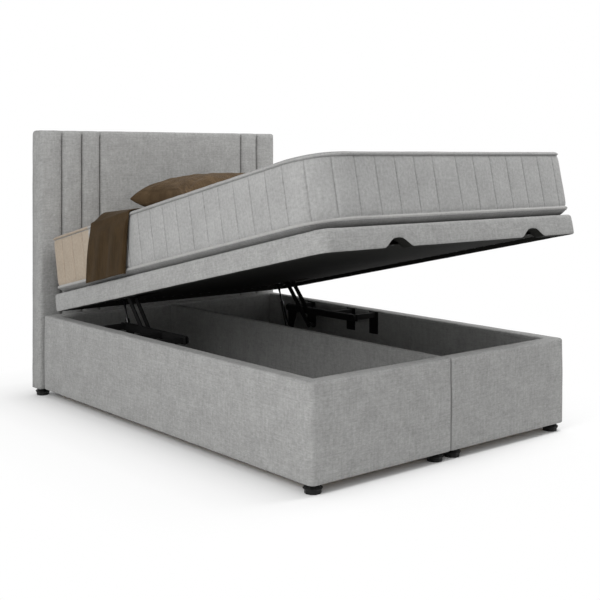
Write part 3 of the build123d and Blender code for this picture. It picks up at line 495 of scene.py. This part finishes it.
def headboardSection(x):
    # From the lower front edge up the front, over the top and down the back: y, z
    h = headboard
    seam, crown, plainTop = seamDepth(x), channelCrown(x), headboardTop(x)
    top = plainTop - h["seamOnTop"] * seam
    edge, backEdge, front = h["edgeRound"], h["backRound"], h["front"]
    back = front + h["thick"]
    side = min(edge, h["halfWidth"] - abs(x))
    roll = edge - math.sqrt(max(0.0, edge ** 2 - (edge - side) ** 2))
    points = []
    for k in range(h["frontRows"] + 1):
        height = h["low"] + (top - edge - h["low"]) * k / h["frontRows"]
        sewn = seam * (h["seamAtRoll"] + (1 - h["seamAtRoll"]) * smoothStep((top - height) / h["seamFade"]))
        puff = crown * min(1.0, (top - height) / h["puffFade"])
        puff *= min(1.0, max(0.0, (height - h["puffLow"]) / h["puffLowFade"]))
        points.append((front + max(roll, 0) + sewn - puff, height))
    for inwards, down in cornerShares(6)[1:]:
        points.append((front + max(edge * inwards, roll) + sewn * (1 - inwards), top - edge * down))
    for share in (0.25, 0.5, 0.75, 1):
        depth = max(edge, roll) + (h["thick"] - backEdge - edge) * share
        points.append((front + depth, top + h["seamOnTop"] * seam * share ** 2))
    points += [(back - backEdge * inwards, plainTop - backEdge * down) for down, inwards in cornerShares(4)[1:]]
    for k in range(1, h["backRows"] + 1):
        points.append((back, plainTop - backEdge - (plainTop - backEdge - h["low"]) * k / h["backRows"]))
    return points


def makeHeadboard():
    h = headboard
    columns = headboardColumns()
    sections = [headboardSection(x) for x in columns]
    rows = [[uneven(Vector((x, y, z)), h["uneven"], h["unevenSize"]) for y, z in section]
            for x, section in zip(columns, sections)]
    sample = h["frontRows"] // 2 - 1   # one row half way up, and one column, give the lengths of the cloth
    around = lengthsAlong(sections[sample], h["underside"])
    across = lengthsAlong([row[sample] for row in rows])
    piece = sweptPiece("headboardCover", rows, lambda i, j: (across[i], around[j]), [greyCloth],
                       capUv=lambda i, j: (rows[i][j].y, rows[i][j].z))
    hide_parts("headboard_cover")
    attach(piece, "base")


makeHeadboard()
print("headboard made")


# Platform: everything on it is laid out flat, y = 0 at its head end and negative towards the foot
platform = {"headY": 0.86911, "headZ": 0.4197, "tilt": math.radians(12.1), "halfWidth": 0.7, "length": 1.985,
            "height": 0.083, "border": 0.052, "rounding": [0.03, 0.02, 0.02, 0.055], "edgeRound": 0.011,
            "lowRound": 0.007, "puff": 0.0012, "step": 0.007, "innerFace": 0.08, "undersideFaces": 4,
            "uneven": 0.0006, "unevenSize": 0.06, "handholds": [-0.34, 0.418], "holdWide": 0.075,
            "holdTop": 0.031, "holdFlat": 0.7, "holdArch": 0.14, "holdHeight": 0.035}


def onPlatform(x, y, z):
    p = platform
    turnCos, turnSin = math.cos(p["tilt"]), math.sin(p["tilt"])
    return Vector((x, p["headY"] + y * turnCos + z * turnSin, p["headZ"] - y * turnSin + z * turnCos))


def handholdRise(x):
    p = platform
    rise = 0.0
    for centre in p["handholds"]:
        away = abs(x - centre)
        arch = 1 - p["holdArch"] * min(away / p["holdTop"], 1.0) ** 2
        flat = p["holdTop"] * p["holdFlat"]
        rise = max(rise, p["holdHeight"] * arch * (1 - smoothStep((away - flat) / (p["holdWide"] - flat))))
    return rise


def borderSection(low):
    # Underside outwards, outer face upwards, top inwards: depth from the outer face, height
    p = platform
    wall, top, edge, foot = p["border"], p["height"], p["edgeRound"], p["lowRound"]
    section = [(wall, low), (0.034, low), (0.016, low), (foot, low)]
    section += [(foot * inwards, low + foot * up) for up, inwards in cornerShares(3)[1:]]
    for share in (k / 6 for k in range(1, 6)):
        height = low + foot + (top - edge - low - foot) * share
        section.append((-p["puff"] * math.sin(math.pi * share), height))
    section += [(edge * inwards, top - edge * down) for inwards, down in cornerShares(4)]
    return section + [(0.024, top), (0.038, top), (wall, top)]


def makeBorder():
    p = platform
    wall = p["border"]
    outline = (-p["halfWidth"], -p["length"]), (p["halfWidth"], 0.0)
    path = roundedPath(*outline, p["rounding"], p["step"], 10)[:-1]
    inner = (p["halfWidth"] - wall, -p["length"] + wall, -wall)
    rows = []
    for point, normal, length in path:
        onFoot = normal.y < -0.99
        row = []
        for depth, height in borderSection(handholdRise(point.x) if onFoot else 0.0):
            place = wallPlace(point, normal, wall, inner, depth, depth / wall)
            row.append(uneven(onPlatform(place.x, place.y, height), p["uneven"], p["unevenSize"]))
        rows.append(row)
    lengths = [length for point, normal, length in path]
    lengths.append(lengths[-1] + p["step"])
    heights = lengthsAlong(borderSection(0.0), p["innerFace"])
    unseen = [*range(p["undersideFaces"]), len(rows[0]) - 1]
    piece = sweptPiece("platformBorder", rows, lambda i, j: (lengths[i], heights[j]), [greyCloth, dustFabric],
                       closed=True, slotOf=lambda i, j: 1 if j in unseen else 0)
    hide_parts("platform_side_cover_left", "platform_side_cover_right", "platform_foot_cover",
                "platform_head_cover")
    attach(piece, "platform")


makeBorder()


# Dust cloth stretched under the bearers, cut out round each lift arm
dustSheet = {"halfWidth": 0.648, "foot": -1.933, "head": -0.052, "height": 0.0165, "sag": 0.0022, "bay": 0.46,
             "slotIn": 0.426, "slotOut": 0.498, "slotHead": -0.13, "slotFoot": -0.492, "step": 0.03,
             "thick": 0.0008}


def makeDustCloth():
    d = dustSheet
    marks = [d["slotIn"], d["slotOut"], d["halfWidth"]]
    xs = spread([-mark for mark in reversed(marks)] + marks, d["step"])
    ys = spread([d["foot"], d["slotFoot"], d["slotHead"], d["head"]], d["step"])
    points, faces, corners = [], [], []
    for y in ys:
        for x in xs:
            free = min(1.0, 4 * (1 - (x / d["halfWidth"]) ** 2))
            free *= 0.6 + 0.4 * noise.noise(Vector((x * 4, y * 4, 0.3)))
            sag = d["sag"] * free * abs(math.sin(math.pi * (y - d["foot"]) / d["bay"]))
            points.append(onPlatform(x, y, d["height"] - sag))
    for i, (low, high) in enumerate(zip(ys, ys[1:])):
        for k, (left, right) in enumerate(zip(xs, xs[1:])):
            x, y = abs(left + right) / 2, (low + high) / 2
            if d["slotIn"] < x < d["slotOut"] and d["slotFoot"] < y < d["slotHead"]:
                continue
            a = i * len(xs) + k
            faces.append((a, a + 1, a + 1 + len(xs), a + len(xs)))
            corners.append(((left, low), (right, low), (right, high), (left, high)))
    piece = finishMesh("dustCloth", points, faces, corners, [dustFabric], [0] * len(faces))
    thick = piece.modifiers.new("clothThickness", "SOLIDIFY")
    thick.thickness, thick.offset = d["thick"], 0
    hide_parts("dust_cloth")
    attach(piece, "platform")


makeDustCloth()
print("platform made")


# Mattress: quilted side panel between two pipings, tucked lower edge, gently domed top.
# Corner rounding: foot right, head right, head left, foot left
mattress = {"halfWidth": 0.694, "head": -0.008, "foot": -1.979, "rounding": [0.04, 0.06, 0.05, 0.16],
            "seams": 66, "seamShift": 0.0305, "seamSteps": [0, 0.0022, 0.0065, 0.016, 0.033], "step": 0.03,
            "bottom": 0.0833, "tuck": 0.022, "tuckInset": 0.036, "lowPiping": 0.014, "topPiping": 0.009,
            "pipingIn": 0.0014, "pipingOut": 0.0046, "panel": 0.218, "quilt": 0.0014, "seamDepth": 0.0028,
            "seamWidth": 0.0032, "beigeEnd": -0.385, "topRings": 40, "uneven": 0.0005, "unevenSize": 0.05,
            "crown": 0.022,
            "crownMarks": [(0, 0), (0.005, 0.0038), (0.012, 0.0062), (0.028, 0.0082), (0.06, 0.0102),
                           (0.12, 0.0135), (0.2, 0.0172), (0.32, 0.0205), (0.45, 0.0218), (0.6, 0.022)]}
mattressPanelLow = mattress["bottom"] + mattress["tuck"] + mattress["lowPiping"]
mattressSeam = mattressPanelLow + mattress["panel"] + mattress["topPiping"]
mattressMiddle = (mattress["head"] + mattress["foot"]) / 2


def mattressOutline(bend):
    m = mattress
    outline = (-m["halfWidth"], m["foot"]), (m["halfWidth"], m["head"])
    return roundedPath(*outline, m["rounding"], m["step"], bend)


mattressPath = mattressOutline(40)
mattressLength = mattressPath[-1][2]
mattressPitch = mattressLength / mattress["seams"]
greyShades = [(0.375, 0.375, 0.37), (0.235, 0.235, 0.231)]
beigeShades = [(0.39, 0.33, 0.262), (0.28, 0.231, 0.18)]
mattressKnits = [knit("greyMattressKnit", *greyShades), knit("beigeMattressKnit", *beigeShades),
                 knit("greyMattressPanel", *greyShades, mattressPitch),
                 knit("beigeMattressPanel", *beigeShades, mattressPitch),
                 # Knit of the lower piping: a grey cord all round, under the beige zone too, painted paler than
                 # the panel as a painted highlight of light from above
                 knit("paintedLightGreyMattressPiping", (0.39, 0.387, 0.378), (0.275, 0.272, 0.266)),
                 # Last knit: darker grey, a painted shade on the tucked flange and on the thin band just under
                 # the upper piping
                 knit("paintedShadeMattressKnit", (0.27, 0.27, 0.266), (0.165, 0.165, 0.162))]


def crownRise(inset):
    # Height of the mattress top above its upper piping, at a distance from the edge
    for (a, low), (b, high) in zip(mattress["crownMarks"], mattress["crownMarks"][1:]):
        if inset <= b:
            return low + (high - low) * (inset - a) / (b - a)
    return mattress["crown"]


def mattressInset(x, y):
    # Distance inwards from the rounded outline
    m = mattress
    radius = m["rounding"][(0 if x > 0 else 3) if y < mattressMiddle else (1 if x > 0 else 2)]
    cornerX = abs(x) - (m["halfWidth"] - radius)
    cornerY = abs(y - mattressMiddle) - ((m["head"] - m["foot"]) / 2 - radius)
    outside = math.hypot(max(cornerX, 0), max(cornerY, 0)) + min(max(cornerX, cornerY), 0)
    return radius - outside


def mattressStations():
    # Stations that crowd together at each quilting seam: station, distance from the seam, length
    m = mattress
    steps = m["seamSteps"]
    offsets = steps + [mattressPitch / 2] + [mattressPitch - step for step in reversed(steps[1:])]
    stations = []
    for k in range(m["seams"]):
        for offset in offsets:
            length = k * mattressPitch + offset
            station = stationAt(mattressPath, (length + m["seamShift"]) % mattressLength)
            stations.append((station, min(offset, mattressPitch - offset), length))
    return stations


def mattressProfile():
    # Up the side and in over the edge: offset outwards, height, share of the quilt relief, kind.
    # For the top the first number is the share of the way to the middle
    m = mattress

    def piping(low, thick):
        shares = (0.06, 0.2, 0.4, 0.6, 0.8, 0.94)
        return [(-m["pipingIn"] + (m["pipingOut"] + m["pipingIn"]) * math.sin(math.pi * share) ** 0.7,
                 low + thick * share, 0, "piping") for share in shares]

    profile = []
    for share in (0, 0.12, 0.3, 0.5, 0.7, 0.88, 1):
        out = -m["tuckInset"] * (1 - share) ** 0.95 - 0.0016 * share + 0.003 * math.sin(math.pi * share)
        profile.append((out, m["bottom"] + m["tuck"] * share, 0.25 * math.sin(math.pi * share), "tuck"))
    profile += piping(m["bottom"] + m["tuck"], m["lowPiping"])
    for share in (0.0, 0.025, 0.07, 0.15, 0.27, 0.4, 0.5, 0.6, 0.73, 0.85, 0.93, 0.981, 1.0):
        hug = min(share, 1 - share)
        profile.append((-0.0042 * math.exp(-hug / 0.03), mattressPanelLow + m["panel"] * share,
                        smoothStep(hug / 0.12), "panel"))
    profile += piping(mattressPanelLow + m["panel"], m["topPiping"])
    for inset in (0.0022, 0.005, 0.009, 0.014, 0.02, 0.026, 0.031, 0.036):
        profile.append((-inset, mattressSeam + crownRise(inset), 0, "crown"))
    return profile + [(k / m["topRings"], 0, 0, "top") for k in range(1, m["topRings"])]


def makeMattress():
    m = mattress
    stations, profile = mattressStations(), mattressProfile()
    centre = Vector((0, mattressMiddle))
    rows, flats = [], []
    for (point, normal, _), away, _ in stations:
        swell = m["quilt"] * min(1.0, (away / (mattressPitch / 2)) * 2.2)
        swell -= m["seamDepth"] * bell(away, m["seamWidth"])
        row, flat = [], []
        for out, height, relief, kind in profile:
            if kind == "top":
                place = edge.lerp(centre, out)
                height = mattressSeam + crownRise(mattressInset(place.x, place.y))
            else:
                place = edge = point + normal * (out + swell * relief)
            if kind in ("crown", "top"):
                height += 0.0012 * noise.noise(Vector((place.x * 9, place.y * 9, 0.2)))
            row.append(uneven(onPlatform(place.x, place.y, height), m["uneven"], m["unevenSize"]))
            flat.append(place)
        rows.append(row)
        flats.append(flat)
    along, around = len(rows), len(profile)
    lengths = [length for _, _, length in stations] + [mattressLength]
    heights = lengthsAlong([row[:2] for row in profile if row[3] != "top"])
    panelEnd = max(j for j, row in enumerate(profile) if row[3] == "panel")

    def slotOf(i, j):
        kind = profile[j][3]
        # The lower piping takes the paler knit: painted highlight
        if kind == "piping" and j < panelEnd:
            return 4
        # The tucked flange and the top band of the panel take the darker knit: painted shade
        if kind == "tuck" or j == panelEnd - 1:
            return 5
        return (1 if flats[i][j].y > m["beigeEnd"] else 0) + (2 if kind == "panel" else 0)

    points = [point for row in rows for point in row]
    faces, corners, slots = [], [], []
    for i in range(along):
        b = (i + 1) % along
        for j in range(around - 1):
            faces.append((i * around + j, b * around + j, b * around + j + 1, i * around + j + 1))
            ring = ((i, j), (i + 1, j), (i + 1, j + 1), (i, j + 1))
            if profile[j][3] in ("crown", "top"):
                corners.append([tuple(flats[a % along][c]) for a, c in ring])
            else:
                corners.append([(lengths[a], heights[c]) for a, c in ring])
            slots.append(slotOf(i, j))
    # The bottom and the middle of the top are closed by fans
    for j, height in ((0, m["bottom"]), (around - 1, mattressSeam + m["crown"])):
        points.append(onPlatform(centre.x, centre.y, height))
        for i in range(along):
            b = (i + 1) % along
            faces.append((i * around + j, b * around + j, len(points) - 1))
            corners.append((tuple(flats[i][j]), tuple(flats[b][j]), tuple(centre)))
            slots.append(0)
    piece = finishMesh("mattressBody", points, faces, corners, mattressKnits, slots)
    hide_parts("mattress")
    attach(piece, "platform")


makeMattress()
print("mattress made")


# Throw: a folded cloth that lies across the mattress, bends over its left piping and hangs down;
# its foot side turns in towards the mattress
throw = {"topHead": -0.43, "topFoot": -0.765, "lowHead": -0.35, "lowFoot": -0.69, "inner": 0.18, "hem": 0.0125,
         "thick": 0.0042, "gap": 0.0026, "standOff": 0.0115, "shoulder": 0.034, "shoulderX": -0.31,
         "bendRadius": 0.011, "bendIn": 0.004, "bendUp": 0.0035, "topStep": 0.022, "dropRows": 26,
         "columns": 60, "turnFrom": 0.955, "turnDeep": 0.003,
         "edgeSteps": [0.15, 0.13, 0.11, 0.09, 0.072, 0.056, 0.042, 0.03, 0.02, 0.012, 0.006]}


def throwLine():
    # Side view of the cloth, from its inner end over the edge and down to the hem: x, height, how far down
    t = throw
    edge = mattress["halfWidth"]
    lift = t["gap"] + t["thick"] / 2
    insets = []
    x = t["inner"]
    while x > -edge + 0.16:
        insets.append((x, edge - abs(x)))
        x -= t["topStep"]
    insets += [(-edge + inset, inset) for inset in t["edgeSteps"]]
    points = [(x, mattressSeam + crownRise(inset) + lift, 0.0) for x, inset in insets]
    for down, inwards in cornerShares(4)[1:]:
        points.append((-edge + t["bendIn"] - t["bendRadius"] * (1 - inwards),
                       mattressSeam + t["bendUp"] + lift - t["bendRadius"] * down, 0.0))
    start = points[-1][1]
    low = platform["height"] + t["hem"]
    for share in (k / t["dropRows"] for k in range(1, t["dropRows"] + 1)):
        points.append((-edge - 0.0035 - lift, start + (low - start) * share, share))
    return points


def makeThrow():
    t = throw
    line = throwLine()
    widths = [k / t["columns"] for k in range(t["columns"] + 1)]
    rows = []
    for x, height, down in line:
        head = t["topHead"] + (t["lowHead"] - t["topHead"]) * down
        foot = t["topFoot"] + (t["lowFoot"] - t["topFoot"]) * down
        shoulder = t["shoulder"] * smoothStep((t["shoulderX"] - x) / 0.2)
        shoulder *= smoothStep((x + mattress["halfWidth"] + 0.008) / 0.05)
        row = []
        for share in widths:
            turn = max(0.0, (share - t["turnFrom"]) / (1 - t["turnFrom"]))
            y = head + (foot - head) * min(share / t["turnFrom"], 1.0)
            y -= t["turnDeep"] * math.sin(math.pi * turn / 2)
            if down == 0:
                lift = wave(0.0016, 1.1 * share + 2.3 * x) + 0.0022
                lift += shoulder * math.sqrt(smoothStep(share * 7)) * (1 - smoothStep(share * 1.05))
                row.append(onPlatform(x, y, height + lift * (1 - turn)))
                continue
            billow = wave(0.0055, 1.35 * share + 0.15) * smoothStep(down * 1.6)
            billow += wave(0.0022, 3.1 * share + 0.4 * down) * smoothStep(down * 2)
            out = t["standOff"] * smoothStep(down * 5) * smoothStep((share - 0.02) * 3) * (1 - turn)
            out += max(billow * (1 - turn), -0.004) + 0.004 * smoothStep(down * 3)
            row.append(onPlatform(x - max(out, 0), y, height))
        rows.append(row)
    along = lengthsAlong([place[:2] for place in line])
    across = [share * (t["topHead"] - t["topFoot"]) * 1.02 for share in widths]
    piece = sweptPiece("throwCloth", rows, lambda i, j: (across[j], along[i]), [throwCloth], loop=False)
    thick = piece.modifiers.new("foldedThickness", "SOLIDIFY")
    thick.thickness, thick.offset = t["thick"], 0
    smooth = piece.modifiers.new("softEdges", "BEVEL")
    smooth.width, smooth.segments, smooth.angle_limit = 0.0012, 2, math.radians(50)
    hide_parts("throw")
    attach(piece, "platform")


# Pillow: a plump cushion with pointed corners, its head side raised, lying on the mattress and on the throw
pillow = {"x": 0.105, "y": -0.352, "tilt": math.radians(9), "halfWidth": 0.398, "halfDepth": 0.248,
          "over": 0.116, "under": 0.088, "columns": 96, "lines": 64, "fullPower": 2.7, "fullRound": 0.42,
          "gather": 0.0085, "gatherReach": 2.2, "crease": 0.015, "ripple": 0.0035, "sway": 0.003,
          "seamRise": 0.0066, "overThrow": 0.0112, "overMattress": 0.0015}


def pillowFull(u, v):
    p = pillow
    return max(0.0, (1 - abs(u) ** p["fullPower"]) * (1 - abs(v) ** p["fullPower"])) ** p["fullRound"]


def pillowPoint(u, v, side):
    # u across and v along the pillow, both from -1 to 1; side 1 is the upper half, -1 the lower half
    p = pillow
    x = p["halfWidth"] * u * (1 - 0.06 * (1 - v * v) * u * u)
    y = p["halfDepth"] * v * (1 - 0.1 * (1 - u * u) * v * v)
    full = pillowFull(u, v)
    rise = (p["over"] if side > 0 else p["under"]) * full
    if max(abs(u), abs(v)) < 0.9999:
        corner = min(math.hypot(1 - abs(u), 1 - abs(v)), 1.2)
        angle = math.atan2((1 - abs(v)) * 0.7, 1 - abs(u))
        folds = math.sin(angle * 11 + 2.2 * math.copysign(1, u) + math.copysign(1.1, v))
        rise += folds * p["gather"] * math.exp(-corner * p["gatherReach"]) * min(1, corner * 5)
        rise -= abs(noise.noise(Vector((x * 7 + 3, y * 11, side * 2.0)))) * p["crease"] * full
        rise += noise.noise(Vector((x * 15, y * 22, side * 5.0))) * p["ripple"] * full
    return Vector((x, y, side * max(rise, 0.0) + p["sway"] * noise.noise(Vector((x * 3, y * 3, 4)))))


def makePillow():
    p, t = pillow, throw
    columns, lines = p["columns"], p["lines"]
    us, vs = ([-math.cos(math.pi * k / count) for k in range(count + 1)] for count in (columns, lines))
    turnCos, turnSin = math.cos(p["tilt"]), math.sin(p["tilt"])
    lowest = min(v * p["halfDepth"] * turnSin - p["under"] * pillowFull(0, v) * turnCos
                 for v in (k / 50 - 1 for k in range(101)))
    seam = mattressSeam + mattress["crown"] + p["seamRise"] - lowest
    points, faces, corners, index = [], [], [], {}
    for side in (1, -1):
        for i, u in enumerate(us):
            for j, v in enumerate(vs):
                if (i in (0, columns) or j in (0, lines)) and side < 0:
                    index[i, j, side] = index[i, j, 1]
                    continue
                flat = pillowPoint(u, v, side)
                x, y = p["x"] + flat.x, p["y"] + flat.y * turnCos - flat.z * turnSin
                z = seam + flat.y * turnSin + flat.z * turnCos
                onThrow = t["topFoot"] < y < t["topHead"] and x < t["inner"] + 0.005
                ground = mattressSeam + crownRise(mattressInset(x, y))
                z = max(z, ground + (p["overThrow"] if onThrow else p["overMattress"]))
                index[i, j, side] = len(points)
                points.append(onPlatform(x, y, z))
    for side in (1, -1):
        for i in range(columns):
            for j in range(lines):
                ring = ((i, j), (i + 1, j), (i + 1, j + 1), (i, j + 1))
                faces.append([index[a, b, side] for a, b in ring])
                corners.append([(us[a] * p["halfWidth"], vs[b] * p["halfDepth"]) for a, b in ring])
    piece = finishMesh("pillowBody", points, faces, corners, [pillowCloth], [0] * len(faces))
    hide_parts("pillow")
    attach(piece, "platform")


makePillow()
makeThrow()
print("bedding made")


# Stitches and staples: one tree that lays short rods along guide lines
def rodsTree(material):
    tree = bpy.data.node_groups.new("rodsAlongLines", "GeometryNodeTree")
    face = tree.interface
    face.new_socket(name="Geometry", in_out="INPUT", socket_type="NodeSocketGeometry")
    sockets = {}
    for key in ("pitch", "length", "radius"):
        sockets[key] = face.new_socket(name=key, in_out="INPUT", socket_type="NodeSocketFloat").identifier
    face.new_socket(name="Geometry", in_out="OUTPUT", socket_type="NodeSocketGeometry")
    start = addNode(tree, "NodeGroupInput").outputs
    curve = addNode(tree, "GeometryNodeMeshToCurve", {"Mesh": start["Geometry"]})
    points = addNode(tree, "GeometryNodeCurveToPoints",
                     {"Curve": curve.outputs["Curve"], "Length": start["pitch"]}, mode="LENGTH").outputs
    rod = addNode(tree, "GeometryNodeMeshCylinder",
                  {"Vertices": 5, "Radius": start["radius"], "Depth": start["length"]})
    place = addNode(tree, "GeometryNodeInstanceOnPoints",
                    {"Points": points["Points"], "Instance": rod.outputs["Mesh"],
                     "Rotation": points["Rotation"]})
    real = addNode(tree, "GeometryNodeRealizeInstances", {"Geometry": place.outputs["Instances"]})
    finish = addNode(tree, "GeometryNodeSetMaterial",
                     {"Geometry": real.outputs["Geometry"], "Material": material})
    addNode(tree, "NodeGroupOutput", {"Geometry": finish.outputs["Geometry"]})
    return tree, sockets


def rodsAlong(name, lines, material, rods, body, closed=False):
    guide = bpy.data.meshes.new(name + "Guide")
    points, edges = [], []
    for line in lines:
        first = len(points)
        points += [tuple(point) for point in line]
        edges += [(first + k, first + k + 1) for k in range(len(line) - 1)]
        if closed:
            edges.append((len(points) - 1, first))
    guide.from_pydata(points, edges, [])
    holder = addObject(name + "Guide", guide)
    tree, sockets = rodsTree(material)
    modifier = holder.modifiers.new("rods", "NODES")
    modifier.node_group = tree
    for key, identifier in sockets.items():
        modifier[identifier] = rods[key]
    mesh = bpy.data.meshes.new_from_object(holder.evaluated_get(bpy.context.evaluated_depsgraph_get()))
    mesh.name = name
    bpy.data.objects.remove(holder, do_unlink=True)
    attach(addObject(name, mesh), body)
    print(name, len(mesh.polygons), "faces")


mattressThread = coated("greyMattressThread", (0.3, 0.3, 0.3), 0.7)
stapleWire = coated("galvanisedStaples", (0.35, 0.35, 0.36), 0.35, metallic=0.9)
stitching = {"pitch": 0.011, "length": 0.0068, "radius": 0.00055, "above": 0.0022}
stapling = {"pitch": 0.055, "length": 0.011, "radius": 0.0006, "inset": 0.009, "sideEnd": 0.01,
            "endInset": 0.02}


def mattressLine(out, height):
    places = [point + normal * out for point, normal, length in mattressOutline(20)[:-1]]
    return [onPlatform(place.x, place.y, height) for place in places]


def makeStaples():
    d, s = dustSheet, stapling
    side, height = d["halfWidth"] - s["inset"], d["height"] - s["radius"]
    runs = [((x, d["head"] - s["sideEnd"]), (x, d["foot"] + s["sideEnd"])) for x in (-side, side)]
    runs += [((-side, y), (side, y)) for y in (d["head"] - s["endInset"], d["foot"] + s["endInset"])]
    lines = [[onPlatform(x, y, height) for x, y in run] for run in runs]
    rodsAlong("dustClothStaples", lines, stapleWire, s, "platform")


upperStitches = mattressLine(-0.0014, mattressSeam + stitching["above"])
lowerStitches = mattressLine(-0.0012, mattress["bottom"] + mattress["tuck"] - stitching["above"])
rodsAlong("mattressStitches", [upperStitches, lowerStitches], mattressThread, stitching, "platform",
          closed=True)
makeStaples()


# Finishes of the CAD nodes that stay; the others have a piece of their own above
nodeFinishes = [
    (darkCloth, "side_lining foot_lining head_lining divider_board deck_board_head deck_board_foot"),
    (consolePaint, "mechanism_console"), (darkBoard, "floor_panel"), (boltCaps, "divider_bolts"),
    (glidePlastic, "glides"), (strutLacquer, "strut_cylinder"), (strutSteel, "strut_rod"),
    (softwood, "floor_battens platform_side_rail"), (crossSoftwood, "platform_head_rail"),
    # Bearers: softwood painted nearly black as painted shade
    (shadeDarkenedSoftwood, "platform_bearer platform_cross_bearers"), (dustFabric, "platform_foot_rail"),
    (pressedBoard, "headboard_board base_side_board base_foot_board base_head_board"),
    (blackSteel, "corner_plates lower_bracket upper_bracket front_link rear_link"),
    (zincSteel, "headboard_bolts base_pivot_pins platform_pivot_pins base_bracket_screws"
                " platform_bracket_screws"),
]
for material, stems in nodeFinishes:
    for name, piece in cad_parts.items():
        if name.removesuffix("_left").removesuffix("_right") in stems.split():
            piece.data.materials.clear()
            piece.data.materials.append(material)
print("finishes given")


# Floor and background: near the base the floor shows the bed's own shadow, further away it turns white
stage = {"reach": 30.0, "floor": (0.88, 0.88, 0.88, 1), "skyStrength": 0.65,
         "white": [(0, 0.0), (0.04, 0.12), (0.1, 0.38), (0.2, 0.66), (0.36, 0.88), (0.7, 1.0)]}


def whiteRays(tree):
    # What the camera, a gloss or a glass sees: there the background is plain white
    path = addNode(tree, "ShaderNodeLightPath")
    seen = mathValue(tree, "MAXIMUM", path.outputs["Is Camera Ray"], path.outputs["Is Glossy Ray"])
    return mathValue(tree, "MAXIMUM", seen, path.outputs["Is Transmission Ray"])


def floorMaterial():
    material, tree, shader = newMaterial("paleFloor")
    setInputs(tree, shader, {"Base Color": stage["floor"], "Roughness": 0.9, "Specular IOR Level": 0.0})
    glow = addNode(tree, "ShaderNodeEmission", {"Strength": 1.0})
    split = addNode(tree, "ShaderNodeSeparateXYZ", {"Vector": scaledCoordinates(tree, "Object")})
    squares = []
    for axis, middle, half in (("X", 0.0, bed["halfWidth"]),
                               ("Y", (bed["headY"] + bed["footY"]) / 2, (bed["headY"] - bed["footY"]) / 2)):
        fromMiddle = mathValue(tree, "ABSOLUTE", mathValue(tree, "SUBTRACT", split.outputs[axis], middle))
        outside = mathValue(tree, "MAXIMUM", mathValue(tree, "SUBTRACT", fromMiddle, half), 0.0)
        squares.append(mathValue(tree, "POWER", outside, 2.0))
    away = mathValue(tree, "SQRT", mathValue(tree, "ADD", *squares))
    white = rampColour(tree, away, *((place, (level,) * 3) for place, level in stage["white"]))
    mix = addNode(tree, "ShaderNodeMixShader", {"Fac": mathValue(tree, "MULTIPLY", white, whiteRays(tree)),
                                                1: shader.outputs["BSDF"], 2: glow.outputs["Emission"]})
    setInputs(tree, tree.nodes["Material Output"], {"Surface": mix.outputs["Shader"]})
    return material


def makeStage():
    mesh = bpy.data.meshes.new("floor")
    square = [(x * stage["reach"], y * stage["reach"], 0) for x, y in ((-1, -1), (1, -1), (1, 1), (-1, 1))]
    mesh.from_pydata(square, [], [(0, 1, 2, 3)])
    mesh.materials.append(floorMaterial())
    addObject("floor", mesh)
    world = bpy.data.worlds.new("studio")
    bpy.context.scene.world = world
    world.use_nodes = True
    tree = world.node_tree
    sky = stage["skyStrength"]
    strength = mathValue(tree, "MULTIPLY_ADD", whiteRays(tree), 1 - sky, sky)
    setInputs(tree, tree.nodes["Background"], {"Color": (1, 1, 1, 1), "Strength": strength})


def softLamp(name, place, target, size, power):
    light = bpy.data.lights.new(name, "AREA")
    light.shape, light.size, light.energy = "DISK", size, power
    lamp = addObject(name, light)
    lamp.location = place
    lamp.rotation_euler = (Vector(target) - Vector(place)).to_track_quat("-Z", "Y").to_euler()


makeStage()
softLamp("keyLamp", (-4.7, -1.5, 3.1), (0, -0.4, 0.4), 2.6, 112)
softLamp("lowLamp", (-4.5, -3.6, 1.4), (0.1, 0.2, 0.3), 2.6, 30)
softLamp("headLamp", (1.7, -1.3, 3.4), (0.1, 1.0, 0.9), 1.8, 78)

photoCamera = {"place": (-3.0493, -3.77509, 1.1621), "turn": 39.7, "lens": 64.24, "sensor": 36,
               "shiftY": -0.241}
cameraData = bpy.data.cameras.new("photoCamera")
cameraData.lens, cameraData.sensor_width = photoCamera["lens"], photoCamera["sensor"]
cameraData.shift_y = photoCamera["shiftY"]
camera = addObject("photoCamera", cameraData)
camera.location = photoCamera["place"]
camera.rotation_euler = (math.radians(90), 0, math.radians(-photoCamera["turn"]))
bpy.context.scene.camera = camera
bpy.context.scene.view_settings.view_transform = "Standard"
